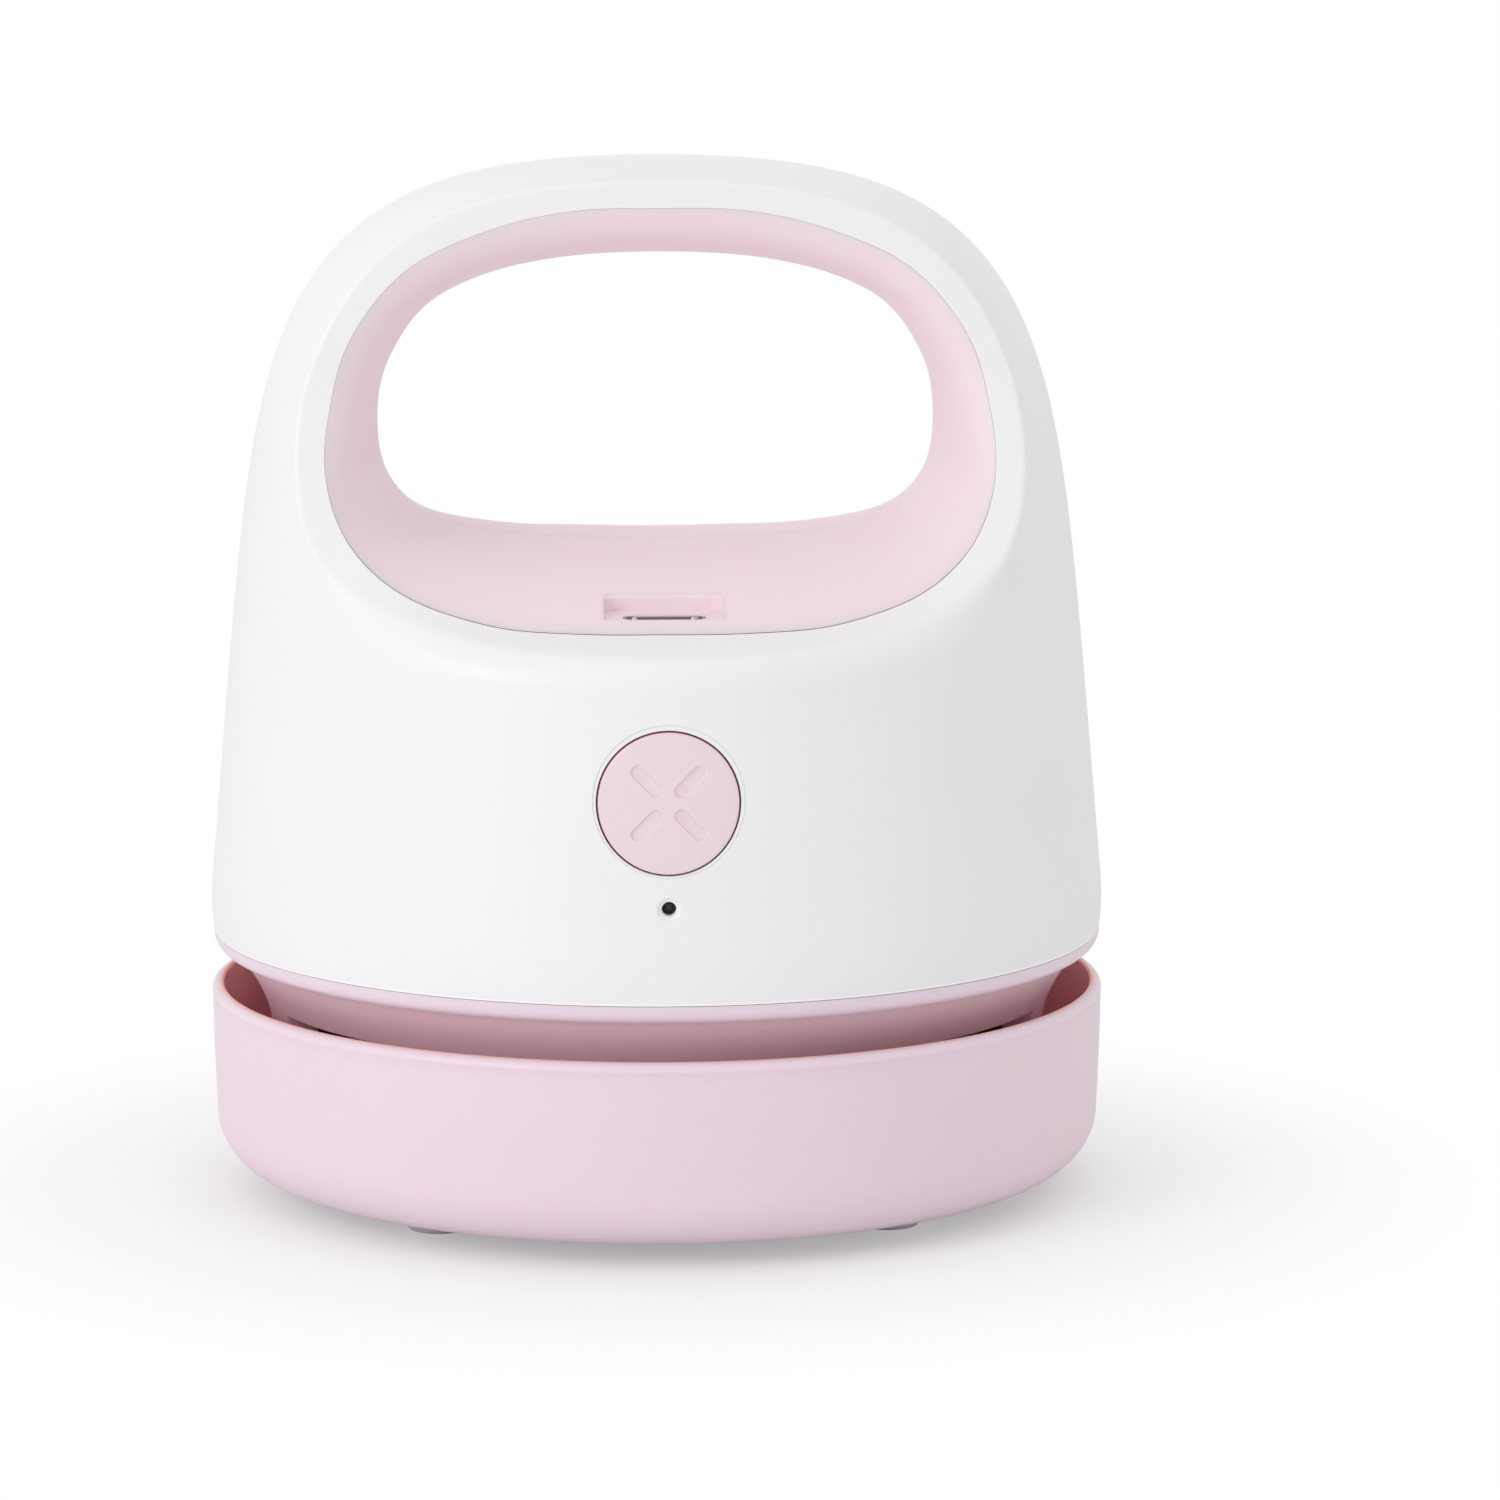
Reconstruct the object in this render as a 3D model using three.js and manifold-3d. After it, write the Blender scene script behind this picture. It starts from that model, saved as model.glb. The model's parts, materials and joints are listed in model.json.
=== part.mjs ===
// Small battery desk vacuum: white shell with a carry handle, pink liner, rim and dust cup.
// Millimetres, +Z up, origin on the table under the middle, front towards -Y.
import * as THREE from 'three';
import { mergeVertices } from 'three/addons/utils/BufferGeometryUtils.js';
import { ParametricGeometry } from 'three/addons/geometries/ParametricGeometry.js';
import Module from 'manifold-3d';

const wasm = await Module();
wasm.setup();

// Overall sizes
const bodyDiameter = 86;
const bodyHeight = 99;

// Heights of the outside, from the table up
const footHeight = 2;
const airGapHeight = 3.25;
const rimHeight = 1.95;

// White shell
const shellWall = 2;
const flankLead = 0.29;
const flankTaper = 6.39;
const flankTuck = 0.54;
const flankTuckHeight = 4.8;
const domePower = 6.45;
const domeRoundness = 3.03;
const handleDepth = 30.8;
const handleLeanShare = 0.0888;
const scoopAxisInset = 2;
const scoopSillDrop = 1.2;

// Handle opening: rim on the white faces, and the throat on the middle plane
const openingRise = 14.17;
const openingSideMargin = 11.6;
const openingTopMargin = 3.23;
const throatSideInset = 4.8;
const throatTopInset = 5.2;
const throatBottomInset = 4.4;
const linerWall = 1.6;
const linerFlange = 0.9;
const linerFlangeThickness = 1.4;

// Clearances
const fitGap = 0.3;
const seatGap = 0.1;
const cutOverrun = 1;

// Charging socket and its notch in the liner
const notchWidth = 11.2;
const notchBackRoom = 4;
const notchFloorRise = 0.83;
const notchCornerRadius = 1;
const notchPadBorder = 1.2;
const notchPadThickness = 1.3;
const socketWidth = 7.6;
const socketThickness = 2.6;
const socketTall = 5.4;
const socketSheet = 0.3;
const socketInset = 14.8;
const tongueWidth = 5;
const tongueThickness = 0.7;
const tongueRecess = 0.8;

// Power button and lamp
const buttonDiameter = 13.15;
const buttonRise = 18.6;
const buttonTravel = 0.9;
const buttonFlangeWidth = 1.5;
const buttonFlangeThickness = 1.2;
const buttonStemDiameter = 4;
const grooveWidth = 1.27;
const grooveDepth = 0.3;
const grooveInnerRadius = 1.68;
const grooveOuterRadius = 4.17;
const grooveCount = 4;
const lampDrop = 9.55;
const lampHoleDiameter = 1.7;
const lampSinkDiameter = 2.3;
const lampSinkDepth = 0.3;
const lampPipeDiameter = 1.3;
const lampPipeRecess = 1.1;
const lampCollarWall = 0.9;
const lampCollarLength = 2;

// Rim, cove and neck of the base ring
const rimInset = 0.25;
const rimUndercut = 1.45;
const coveReach = 4;
const coveHeight = 7.55;
const covePower = 1.7;
const neckWall = 2.45;
const neckSkirt = 0.95;
const deckThickness = 2;
const deckRise = 0.5;
const spigotWall = 1.6;
const spigotTall = 3;
const windowTopDrop = 1.35;
const windowTall = 3.4;
const windowHalfSpan = THREE.MathUtils.degToRad(69.5);
const windowRib = THREE.MathUtils.degToRad(3);
const windowCount = 5;

// Motor and fan
const motorDiameter = 20.4;
const motorFlatWidth = 15.4;
const motorCapTall = 3;
const motorCapInset = 0.4;
const motorBossDiameter = 6.2;
const motorBossLength = 1.8;
const motorScrewSpacing = 14.5;
const terminalSpacing = 10.5;
const terminalWidth = 2.2;
const terminalThickness = 0.5;
const terminalTall = 2.6;
const shaftDiameter = 2;
const shaftInMotor = 5;
const impellerPostGap = 1.9;
const impellerPlate = 1;
const impellerTopClearance = 2.1;
const impellerBladeTall = 4.7;
const impellerBladeThickness = 1;
const impellerHubDiameter = 8.4;
const impellerEyeRadius = 10;
const bladeCount = 9;
const bladeSweep = THREE.MathUtils.degToRad(42);

// Fan cover and its posts
const fanCoverThickness = 1.4;
const fanInletDiameter = 18;
const postInset = 6.25;
const postDiameter = 4.4;
const postCount = 3;
const postFirstAngle = Math.PI / 2;

// Screws
const screwShankDiameter = 2.2;
const screwHeadDiameter = 4;
const screwHeadTall = 1.1;
const screwLength = 8;
const motorScrewShankDiameter = 1.6;
const motorScrewHeadDiameter = 3.2;
const motorScrewHeadTall = 1.1;
const motorScrewBite = 2;
const slotWidth = 0.6;
const slotDepth = 0.5;

// Shell bosses for the housing screws
const bossInset = 3.35;
const bossDiameter = 6;
const bossTall = 11;
const bossRibThickness = 1.6;
const bossCount = 4;
const bossFirstAngle = Math.PI / 4;

// Circuit board and what sits on it
const boardWidth = 27;
const boardThickness = 1.2;
const boardRise = 4.5;
const boardTopRoom = 2.5;
const boardScrewInset = 2.2;
const boardScrewRise = 7.3;
const boardBossDiameter = 4;
const boardScrewLength = 4.5;
const boardScrewShankDiameter = 1.6;
const boardScrewHeadDiameter = 3;
const boardScrewHeadTall = 0.9;
const switchSide = 6;
const switchBodyDepth = 3.4;
const plungerDiameter = 3.2;
const plungerInside = 0.5;
const plungerOutside = 1.2;
const ledWidth = 1.6;
const ledTall = 1;
const ledDepth = 0.8;
const chipWidth = 5;
const chipTall = 4;
const chipDepth = 1.5;
const chipRise = 0.6;

// Battery and its holder
const batteryThickness = 9;
const batteryBackRoom = 13.5;
const batteryTopRoom = 4.87;
const batteryCornerRadius = 2.5;
const holderSideRoom = 2.27;
const holderWall = 1.2;
const holderTallShare = 0.8;
const holderLip = 3;

// Wires
const wireDiameter = 1.2;
const wireRise = 2.2;
const wirePadRise = 3;
const wireHeadroom = 3.17;
const motorWirePadSpacing = 9;
const batteryWirePadSpacing = 20;
const batteryTabSpacing = 8;

// Filter
const filterRise = 3.05;
const filterFrameTall = 2.7;
const filterFrameWidth = 2.6;
const filterBarWidth = 2;
const filterBarTall = 1;
const filterThickness = 1.2;
const gasketWidth = 2.4;
const gasketTall = 1.3;
const filterBarCount = 2;

// Dust cup
const cupFloor = 1.6;
const cupLipThickness = 1.12;
const cupLipRound = 0.8;
const cupWallTaper = 0.9;
const cupCornerRadius = 5.7;
const cupFlankTaper = 0.4;
const cupRingWall = 1.4;
const cupRingOverlap = 3;
const cupLedgeWidth = 2.4;
const sealTall = 1;
const sealInset = 0.3;
const mouthDiameter = 18;
const mouthFlare = 1.2;
const hatTall = 4.4;
const hatWall = 1.4;
const mouthLandWidth = 4.2;
const brushChannelWidth = 5;
const brushHolderTall = 1.2;
const bristleBorder = 0.9;
const bristleGroundClearance = 0.3;
const footDiameter = 6;
const footSink = 0.3;
const footInset = 13;
const footCount = 4;
const footBevel = 0.4;

// Mesh fineness
const roundSegments = 48;
const hiddenSegments = 36;
const buttonSegments = 32;
const holeSegments = 12;
const smallSegments = 8;
const scoopSegments = 12;
const loopSegments = 44;
const cornerSegments = 3;
const wireSides = 6;
const wireSteps = 14;

// Heights from the table up: cup floor, filter, fan cover, windows, air gap, rim and deck
const hatTop = footHeight + hatTall;
const filterFrameBottom = hatTop + filterRise;
const filterFrameTop = filterFrameBottom + filterFrameTall;
const gasketTop = filterFrameTop + seatGap + gasketTall;
const fanCoverBottom = gasketTop + fitGap;
const fanCoverTop = fanCoverBottom + fanCoverThickness;
const windowBottom = fanCoverTop + fitGap;
const windowTop = windowBottom + windowTall;
const cupLipHeight = windowTop + windowTopDrop;
const rimBottom = cupLipHeight + airGapHeight;
const seamHeight = rimBottom + rimHeight;
const deckTop = seamHeight + deckRise;
const deckBottom = deckTop - deckThickness;
const buttonHeight = seamHeight + buttonRise;
const lampHeight = buttonHeight - lampDrop;

// Handle opening above the button, with the scoops in front and behind
const rimOutlineBottom = buttonHeight + openingRise;
const rimOutlineTall = bodyHeight - openingTopMargin - rimOutlineBottom;
const rimOutlineWidth = bodyDiameter - 2 * openingSideMargin;
const throatBottom = rimOutlineBottom + throatBottomInset;
const throatTall = rimOutlineTall - throatTopInset - throatBottomInset;
const throatWidth = rimOutlineWidth - 2 * throatSideInset;
const bodyRadius = bodyDiameter / 2;
const scoopAxisDepth = bodyRadius - scoopAxisInset;
const scoopRadius = scoopAxisDepth - handleDepth / 2;
const scoopAxisHeight = rimOutlineBottom - scoopSillDrop + scoopRadius;
const socketDepth = bodyRadius - socketInset;
const notchBackDepth = socketDepth - notchBackRoom;

// Radii of the base ring and of what is fastened to it
const rimRadius = bodyRadius - rimInset;
const coveTopRadius = rimRadius - rimUndercut;
const neckRadius = coveTopRadius - coveReach;
const neckInnerRadius = neckRadius - neckWall;
const coveBottom = rimBottom - coveHeight;
const neckBottomHeight = filterFrameBottom - neckSkirt;
const bossCircleRadius = neckInnerRadius - bossInset;
const postCircleRadius = neckInnerRadius - postInset;
const impellerRadius = postCircleRadius - postDiameter / 2 - impellerPostGap;
const farOut = bodyDiameter;

const pinkColor = 0xe6cdd9;
const materials = {
  whitePlastic: new THREE.MeshStandardMaterial({ color: 0xf1f0f2, roughness: 0.45, metalness: 0 }),
  pinkPlastic: new THREE.MeshStandardMaterial({ color: pinkColor, roughness: 0.42, metalness: 0 }),
  blackPlastic: new THREE.MeshStandardMaterial({ color: 0x232325, roughness: 0.5, metalness: 0 }),
  greyPlastic: new THREE.MeshStandardMaterial({ color: 0x8f9296, roughness: 0.5, metalness: 0 }),
  steel: new THREE.MeshStandardMaterial({ color: 0xc3c5c8, roughness: 0.3, metalness: 1 }),
  brass: new THREE.MeshStandardMaterial({ color: 0xc9a35a, roughness: 0.35, metalness: 1 }),
  board: new THREE.MeshStandardMaterial({ color: 0x1f6b43, roughness: 0.5, metalness: 0 }),
  clearPlastic: new THREE.MeshStandardMaterial({ color: 0x3a3836, roughness: 0.15, metalness: 0 }),
  lamp: new THREE.MeshStandardMaterial({ color: 0xe9e2c8, roughness: 0.3, metalness: 0 }),
  rubber: new THREE.MeshStandardMaterial({ color: 0xd9d4d6, roughness: 0.8, metalness: 0 }),
  bristle: new THREE.MeshStandardMaterial({ color: 0xf3f1ee, roughness: 0.6, metalness: 0 }),
  filter: new THREE.MeshStandardMaterial({ color: 0xf2efe6, roughness: 0.95, metalness: 0 }),
  battery: new THREE.MeshStandardMaterial({ color: 0x9fb4c8, roughness: 0.35, metalness: 0.2 }),
  redWire: new THREE.MeshStandardMaterial({ color: 0xb3201f, roughness: 0.5, metalness: 0 }),
  blackWire: new THREE.MeshStandardMaterial({ color: 0x1b1b1d, roughness: 0.5, metalness: 0 }),
};

const vacuum = new THREE.Group();

// Closed solids from three.js geometries

function solidOf(geometry) {
  const bare = geometry.clone();
  bare.deleteAttribute('normal');
  bare.deleteAttribute('uv');
  const welded = mergeVertices(bare);
  const places = welded.getAttribute('position').array;
  const corners = welded.getIndex().array;
  const triangles = [];
  const first = new THREE.Vector3();
  const second = new THREE.Vector3();
  const third = new THREE.Vector3();
  let volume = 0;
  for (let i = 0; i < corners.length; i += 3) {
    const [a, b, c] = [corners[i], corners[i + 1], corners[i + 2]];
    if (a === b || b === c || c === a) continue;
    triangles.push([a, b, c]);
    first.fromArray(places, 3 * a);
    second.fromArray(places, 3 * b);
    third.fromArray(places, 3 * c);
    volume += first.dot(second.cross(third));
  }
  const ordered = volume < 0 ? triangles.map(([a, b, c]) => [a, c, b]) : triangles;
  return new wasm.Manifold(new wasm.Mesh({
    numProp: 3,
    vertProperties: Float32Array.from(places),
    triVerts: Uint32Array.from(ordered.flat()),
  }));
}

function geometryOf(solid) {
  const mesh = solid.getMesh();
  const geometry = new THREE.BufferGeometry();
  geometry.setAttribute('position', new THREE.BufferAttribute(mesh.vertProperties, 3));
  geometry.setIndex(new THREE.BufferAttribute(mesh.triVerts, 1));
  geometry.computeVertexNormals();
  return geometry;
}

function addPart(name, solid, material) {
  const mesh = new THREE.Mesh(geometryOf(solid), material);
  mesh.name = name;
  vacuum.add(mesh);
  return mesh;
}

function joined(solids) {
  return solids.reduce((whole, solid) => whole.add(solid));
}

// A profile of [radius, height] pairs turned about the vertical axis
function turned(profile, segments = roundSegments) {
  const points = profile.map(([radius, height]) => new THREE.Vector2(radius, height));
  return solidOf(new THREE.LatheGeometry(points, segments).rotateX(Math.PI / 2));
}

function ring(innerRadius, outerRadius, low, high, segments = hiddenSegments) {
  return turned([
    [innerRadius, low],
    [outerRadius, low],
    [outerRadius, high],
    [innerRadius, high],
    [innerRadius, low],
  ], segments);
}

function block(xLow, xHigh, yLow, yHigh, zLow, zHigh) {
  const geometry = new THREE.BoxGeometry(xHigh - xLow, yHigh - yLow, zHigh - zLow);
  return solidOf(geometry.translate((xLow + xHigh) / 2, (yLow + yHigh) / 2, (zLow + zHigh) / 2));
}

function rodZ(radius, low, high, x = 0, y = 0, segments = holeSegments) {
  const geometry = new THREE.CylinderGeometry(radius, radius, high - low, segments).rotateX(Math.PI / 2);
  return solidOf(geometry.translate(x, y, (low + high) / 2));
}

function rodY(radius, low, high, x, z, segments = holeSegments, frontRadius = radius) {
  const geometry = new THREE.CylinderGeometry(radius, frontRadius, high - low, segments);
  return solidOf(geometry.translate(x, (low + high) / 2, z));
}

function plateZ(shape, low, high, segments = smallSegments) {
  const options = { depth: high - low, bevelEnabled: false, curveSegments: segments };
  return new THREE.ExtrudeGeometry(shape, options).translate(0, 0, low);
}

// An outline in x and z, pushed along y
function plateY(shape, low, high, segments = smallSegments) {
  const options = { depth: high - low, bevelEnabled: false, curveSegments: segments };
  return new THREE.ExtrudeGeometry(shape, options).rotateX(Math.PI / 2).translate(0, high, 0);
}

// An outline in y and z, pushed both ways along x
function plateX(shape, halfWidth, segments = smallSegments) {
  const options = { depth: 2 * halfWidth, bevelEnabled: false, curveSegments: segments };
  const turn = new THREE.Matrix4().makeBasis(
    new THREE.Vector3(0, 1, 0),
    new THREE.Vector3(0, 0, 1),
    new THREE.Vector3(1, 0, 0),
  );
  return solidOf(new THREE.ExtrudeGeometry(shape, options).translate(0, 0, -halfWidth).applyMatrix4(turn));
}

function roundedRectangle(width, tall, radius) {
  const [x, y] = [width / 2 - radius, tall / 2 - radius];
  const shape = new THREE.Shape();
  shape.absarc(x, -y, radius, -Math.PI / 2, 0);
  shape.absarc(x, y, radius, 0, Math.PI / 2);
  shape.absarc(-x, y, radius, Math.PI / 2, Math.PI);
  shape.absarc(-x, -y, radius, Math.PI, 1.5 * Math.PI);
  shape.closePath();
  return shape;
}

function onCircle(radius, angle) {
  return [radius * Math.cos(angle), radius * Math.sin(angle)];
}

// Outer form of the white shell, or the same form set inwards by inset

function domeRadius(height, inset = 0) {
  const share = (height - seamHeight) / (bodyHeight - inset - seamHeight);
  const rise = Math.max(0, share);
  const tuckShare = Math.max(0, 1 - Math.max(0, height - seamHeight) / flankTuckHeight);
  const flank = bodyRadius + flankLead - inset - flankTaper * share - flankTuck * tuckShare ** 2;
  return flank * Math.max(0, 1 - rise ** domePower) ** (1 / domeRoundness);
}

// Half depth of the handle where the scoops cut the dome in front and behind
function scoopHalfDepth(height) {
  if (height >= scoopAxisHeight) return handleDepth / 2 - handleLeanShare * (height - scoopAxisHeight);
  const drop = scoopAxisHeight - height;
  return scoopAxisDepth - Math.sqrt(Math.max(0, scoopRadius ** 2 - drop ** 2));
}

const domeLevelShares = [0, 0.03, 0.066, 0.25, 0.45, 0.6, 0.72, 0.81, 0.88, 0.93, 0.965, 0.985, 0.996];
const innerLevelShares = [0, 0.066, 0.45, 0.72, 0.88, 0.965, 0.99];

function domeSolid(inset, lowest, segments, levelShares = domeLevelShares) {
  const top = bodyHeight - inset;
  const profile = [[0, lowest], [domeRadius(lowest, inset), lowest]];
  for (const share of levelShares) {
    const height = seamHeight + share * (top - seamHeight);
    if (height > lowest) profile.push([domeRadius(height, inset), height]);
  }
  profile.push([0, top]);
  return turned(profile, segments);
}

function scoopedSlab(inset, lowest) {
  const radius = scoopRadius + inset;
  const top = bodyHeight + cutOverrun;
  const shape = new THREE.Shape();
  shape.moveTo(-farOut, lowest);
  shape.lineTo(farOut, lowest);
  shape.lineTo(farOut, scoopAxisHeight - radius);
  shape.absarc(scoopAxisDepth, scoopAxisHeight, radius, 1.5 * Math.PI, Math.PI, true);
  shape.lineTo(scoopHalfDepth(top) - inset, top);
  shape.lineTo(inset - scoopHalfDepth(top), top);
  shape.absarc(-scoopAxisDepth, scoopAxisHeight, radius, 0, -Math.PI / 2, true);
  shape.lineTo(-farOut, scoopAxisHeight - radius);
  shape.closePath();
  return plateX(shape, farOut, scoopSegments);
}

function outerForm() {
  return domeSolid(0, seamHeight, roundSegments).intersect(scoopedSlab(0, seamHeight - cutOverrun));
}

function innerForm() {
  const low = seamHeight - cutOverrun;
  const dome = domeSolid(shellWall, low, hiddenSegments, innerLevelShares);
  return dome.intersect(scoopedSlab(shellWall, low - cutOverrun));
}

// Handle opening: half outlines from top to bottom, x as a share of the half width and z of the height

const rimOutlineShares = [
  [0, 1], [0.242, 0.995], [0.487, 0.952], [0.745, 0.845], [0.924, 0.659], [0.99, 0.469],
  [1, 0.373], [0.946, 0.211], [0.796, 0.091], [0.525, 0.019], [0.26, 0.002], [0, 0],
];
const throatShares = [
  [0, 1], [0.21, 0.994], [0.421, 0.971], [0.635, 0.918], [0.831, 0.812], [0.97, 0.602],
  [1, 0.448], [0.97, 0.258], [0.838, 0.118], [0.526, 0.027], [0.263, 0.007], [0, 0],
];

function loopCurve(shares, width, tall, bottom) {
  const right = shares.map(([x, z]) => new THREE.Vector3(x * width / 2, 0, bottom + z * tall));
  const left = right.slice(1, -1).reverse().map((point) => new THREE.Vector3(-point.x, 0, point.z));
  return new THREE.CatmullRomCurve3([...right, ...left], true, 'centripetal');
}

const rimLoop = loopCurve(rimOutlineShares, rimOutlineWidth, rimOutlineTall, rimOutlineBottom);
const throatLoop = loopCurve(throatShares, throatWidth, throatTall, throatBottom);

// Places round the opening: rim point, throat point, outward direction and depth of the rim
const loopStations = [];
for (let i = 0; i <= loopSegments; i += 1) {
  const share = (i % loopSegments) / loopSegments;
  const rim = rimLoop.getPointAt(share);
  const throat = throatLoop.getPointAt(share);
  const tangent = rimLoop.getTangentAt(share);
  const outward = new THREE.Vector3(-tangent.z, 0, tangent.x).normalize();
  const domeHalfDepth = Math.sqrt(domeRadius(rim.z) ** 2 - rim.x ** 2);
  loopStations.push({ rim, throat, outward, depth: Math.min(scoopHalfDepth(rim.z), domeHalfDepth) });
}

function loopSurface(sectionCount, placeAt) {
  const place = (u, v, target) => {
    const station = loopStations[Math.round(THREE.MathUtils.clamp(u, 0, 1) * loopSegments)];
    const section = Math.round(THREE.MathUtils.clamp(v, 0, 1) * sectionCount);
    target.copy(placeAt(station, section));
  };
  return solidOf(new ParametricGeometry(place, loopSegments, sectionCount));
}

function offsetPoint(point, outward, offset, y) {
  return new THREE.Vector3(point.x + offset * outward.x, y, point.z + offset * outward.z);
}

// Clears the shell for the liner: a straight hole through each face, wider behind the white wall
function openingCutter() {
  const middle = new THREE.Vector3(0, 0, throatBottom + throatTall / 2);
  const sectionCount = 7;
  return loopSurface(sectionCount, (station, section) => {
    const behind = station.depth - shellWall;
    const wide = linerFlange + fitGap;
    const rows = [
      null, [fitGap, -farOut], [fitGap, -behind], [wide, -behind],
      [wide, behind], [fitGap, behind], [fitGap, farOut], null,
    ];
    if (rows[section] === null) return new THREE.Vector3(0, section === 0 ? -farOut : farOut, middle.z);
    const [offset, y] = rows[section];
    return offsetPoint(station.rim, station.outward, offset, y);
  });
}

const crownShares = [0, 0.25, 0.5, 0.72, 0.88, 1];
const hiddenShares = [0.62, 0.3, 0];

// The visible face bulges from the rim to the middle plane as a parabola, and its wall lies behind it
function crownPoint(station, share) {
  return station.throat.clone().lerp(station.rim, share ** 2);
}

function linerHalf(side) {
  const sections = crownShares.length + 3 + hiddenShares.length;
  return loopSurface(sections, (station, section) => {
    const index = section % sections;
    const seam = fitGap / 2;
    const depthAt = (share) => side * (seam + share * (station.depth - seam));
    const flangeFront = station.depth - shellWall - fitGap;
    const flangeBack = flangeFront - linerFlangeThickness;
    if (index < crownShares.length) {
      const share = crownShares[index];
      return offsetPoint(crownPoint(station, share), station.outward, 0, depthAt(share));
    }
    if (index === crownShares.length) {
      return offsetPoint(station.rim, station.outward, 0, side * flangeFront);
    }
    if (index === crownShares.length + 1) {
      return offsetPoint(station.rim, station.outward, linerFlange, side * flangeFront);
    }
    if (index === crownShares.length + 2) {
      return offsetPoint(station.rim, station.outward, linerFlange, side * flangeBack);
    }
    const share = hiddenShares[index - crownShares.length - 3];
    return offsetPoint(crownPoint(station, share), station.outward, linerWall, depthAt(share));
  });
}

// Places of the board, and on the front of the shell
const notchFloor = rimOutlineBottom + notchFloorRise;
const boardBottomHeight = deckTop + boardRise;
const boardTopHeight = notchFloor - notchPadThickness - boardTopRoom;
const boardScrewHeight = boardBottomHeight + boardScrewRise;
const boardScrewSpacing = boardWidth - 2 * boardScrewInset;
const buttonFace = domeRadius(buttonHeight);
const lampFace = domeRadius(lampHeight);
const buttonRadius = buttonDiameter / 2;
const buttonHoleRadius = buttonRadius + fitGap;
const buttonFlangeRadius = buttonRadius + buttonFlangeWidth;
const wallAboveButton = domeRadius(buttonHeight + buttonFlangeRadius) - shellWall;
const innerWallAtFlange = Math.sqrt(wallAboveButton ** 2 - buttonFlangeRadius ** 2);
const buttonFlangeFront = innerWallAtFlange - fitGap;
const boardBack = socketDepth + socketThickness / 2 + fitGap;
const boardFront = boardBack + boardThickness;
const switchFront = boardFront + seatGap + switchBodyDepth;
const plungerFront = switchFront + plungerOutside;
const lampCollarRadius = lampHoleDiameter / 2 + lampCollarWall;

function buildUpperShell() {
  let shell = outerForm().subtract(innerForm());
  const bossLow = deckTop + fitGap;
  const bossHigh = bossLow + bossTall;
  const ribLow = deckTop + spigotTall + fitGap;
  const ribOuter = domeRadius(bossHigh) - shellWall / 2;
  for (let i = 0; i < bossCount; i += 1) {
    const angle = bossFirstAngle + i * 2 * Math.PI / bossCount;
    const [x, y] = onCircle(bossCircleRadius, angle);
    const ribSize = [ribOuter - bossCircleRadius, bossRibThickness, bossHigh - ribLow];
    const rib = new THREE.BoxGeometry(...ribSize);
    rib.translate((ribOuter + bossCircleRadius) / 2, 0, (ribLow + bossHigh) / 2).rotateZ(angle);
    shell = shell.add(rodZ(bossDiameter / 2, bossLow, bossHigh, x, y)).add(solidOf(rib));
  }
  for (let i = 0; i < bossCount; i += 1) {
    const [x, y] = onCircle(bossCircleRadius, bossFirstAngle + i * 2 * Math.PI / bossCount);
    const boreTop = deckBottom + screwLength + fitGap;
    shell = shell.subtract(rodZ(screwShankDiameter / 2 + fitGap, bossLow - cutOverrun, boreTop, x, y));
  }
  const boardScrewTip = boardBack + boardScrewLength;
  for (const side of [-1, 1]) {
    const x = side * boardScrewSpacing / 2;
    const wallMiddle = domeRadius(boardScrewHeight) - shellWall / 2;
    const root = Math.sqrt(wallMiddle ** 2 - x ** 2);
    const boss = rodY(boardBossDiameter / 2, -root, -boardFront - fitGap, x, boardScrewHeight);
    const boreRadius = boardScrewShankDiameter / 2 + fitGap;
    const bore = rodY(boreRadius, -boardScrewTip - fitGap, -boardFront, x, boardScrewHeight, smallSegments);
    shell = shell.add(boss).subtract(bore);
  }
  const collarBack = lampFace - shellWall - lampCollarLength;
  const collarFront = lampFace - shellWall / 2;
  shell = shell.add(rodY(lampCollarRadius, -collarFront, -collarBack, 0, lampHeight, smallSegments));
  const lampHoleRadius = lampHoleDiameter / 2 + seatGap;
  const lampHole = rodY(lampHoleRadius, -farOut, -collarBack + cutOverrun, 0, lampHeight, smallSegments);
  const sinkOuter = lampSinkDiameter / 2 + lampSinkDepth;
  const sinkInner = lampSinkDiameter / 2 - lampSinkDepth;
  const sinkLow = -lampFace - lampSinkDepth;
  const sinkHigh = sinkLow + 2 * lampSinkDepth;
  const sink = rodY(sinkInner, sinkLow, sinkHigh, 0, lampHeight, smallSegments, sinkOuter);
  const holeBack = -innerWallAtFlange + shellWall;
  const buttonHole = rodY(buttonHoleRadius, -farOut, holeBack, 0, buttonHeight, buttonSegments);
  return shell.subtract(lampHole).subtract(sink).subtract(buttonHole).subtract(openingCutter());
}

// Liner halves, the front one with the notch and slot of the charging socket
const socketTop = notchFloor - fitGap;

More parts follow.
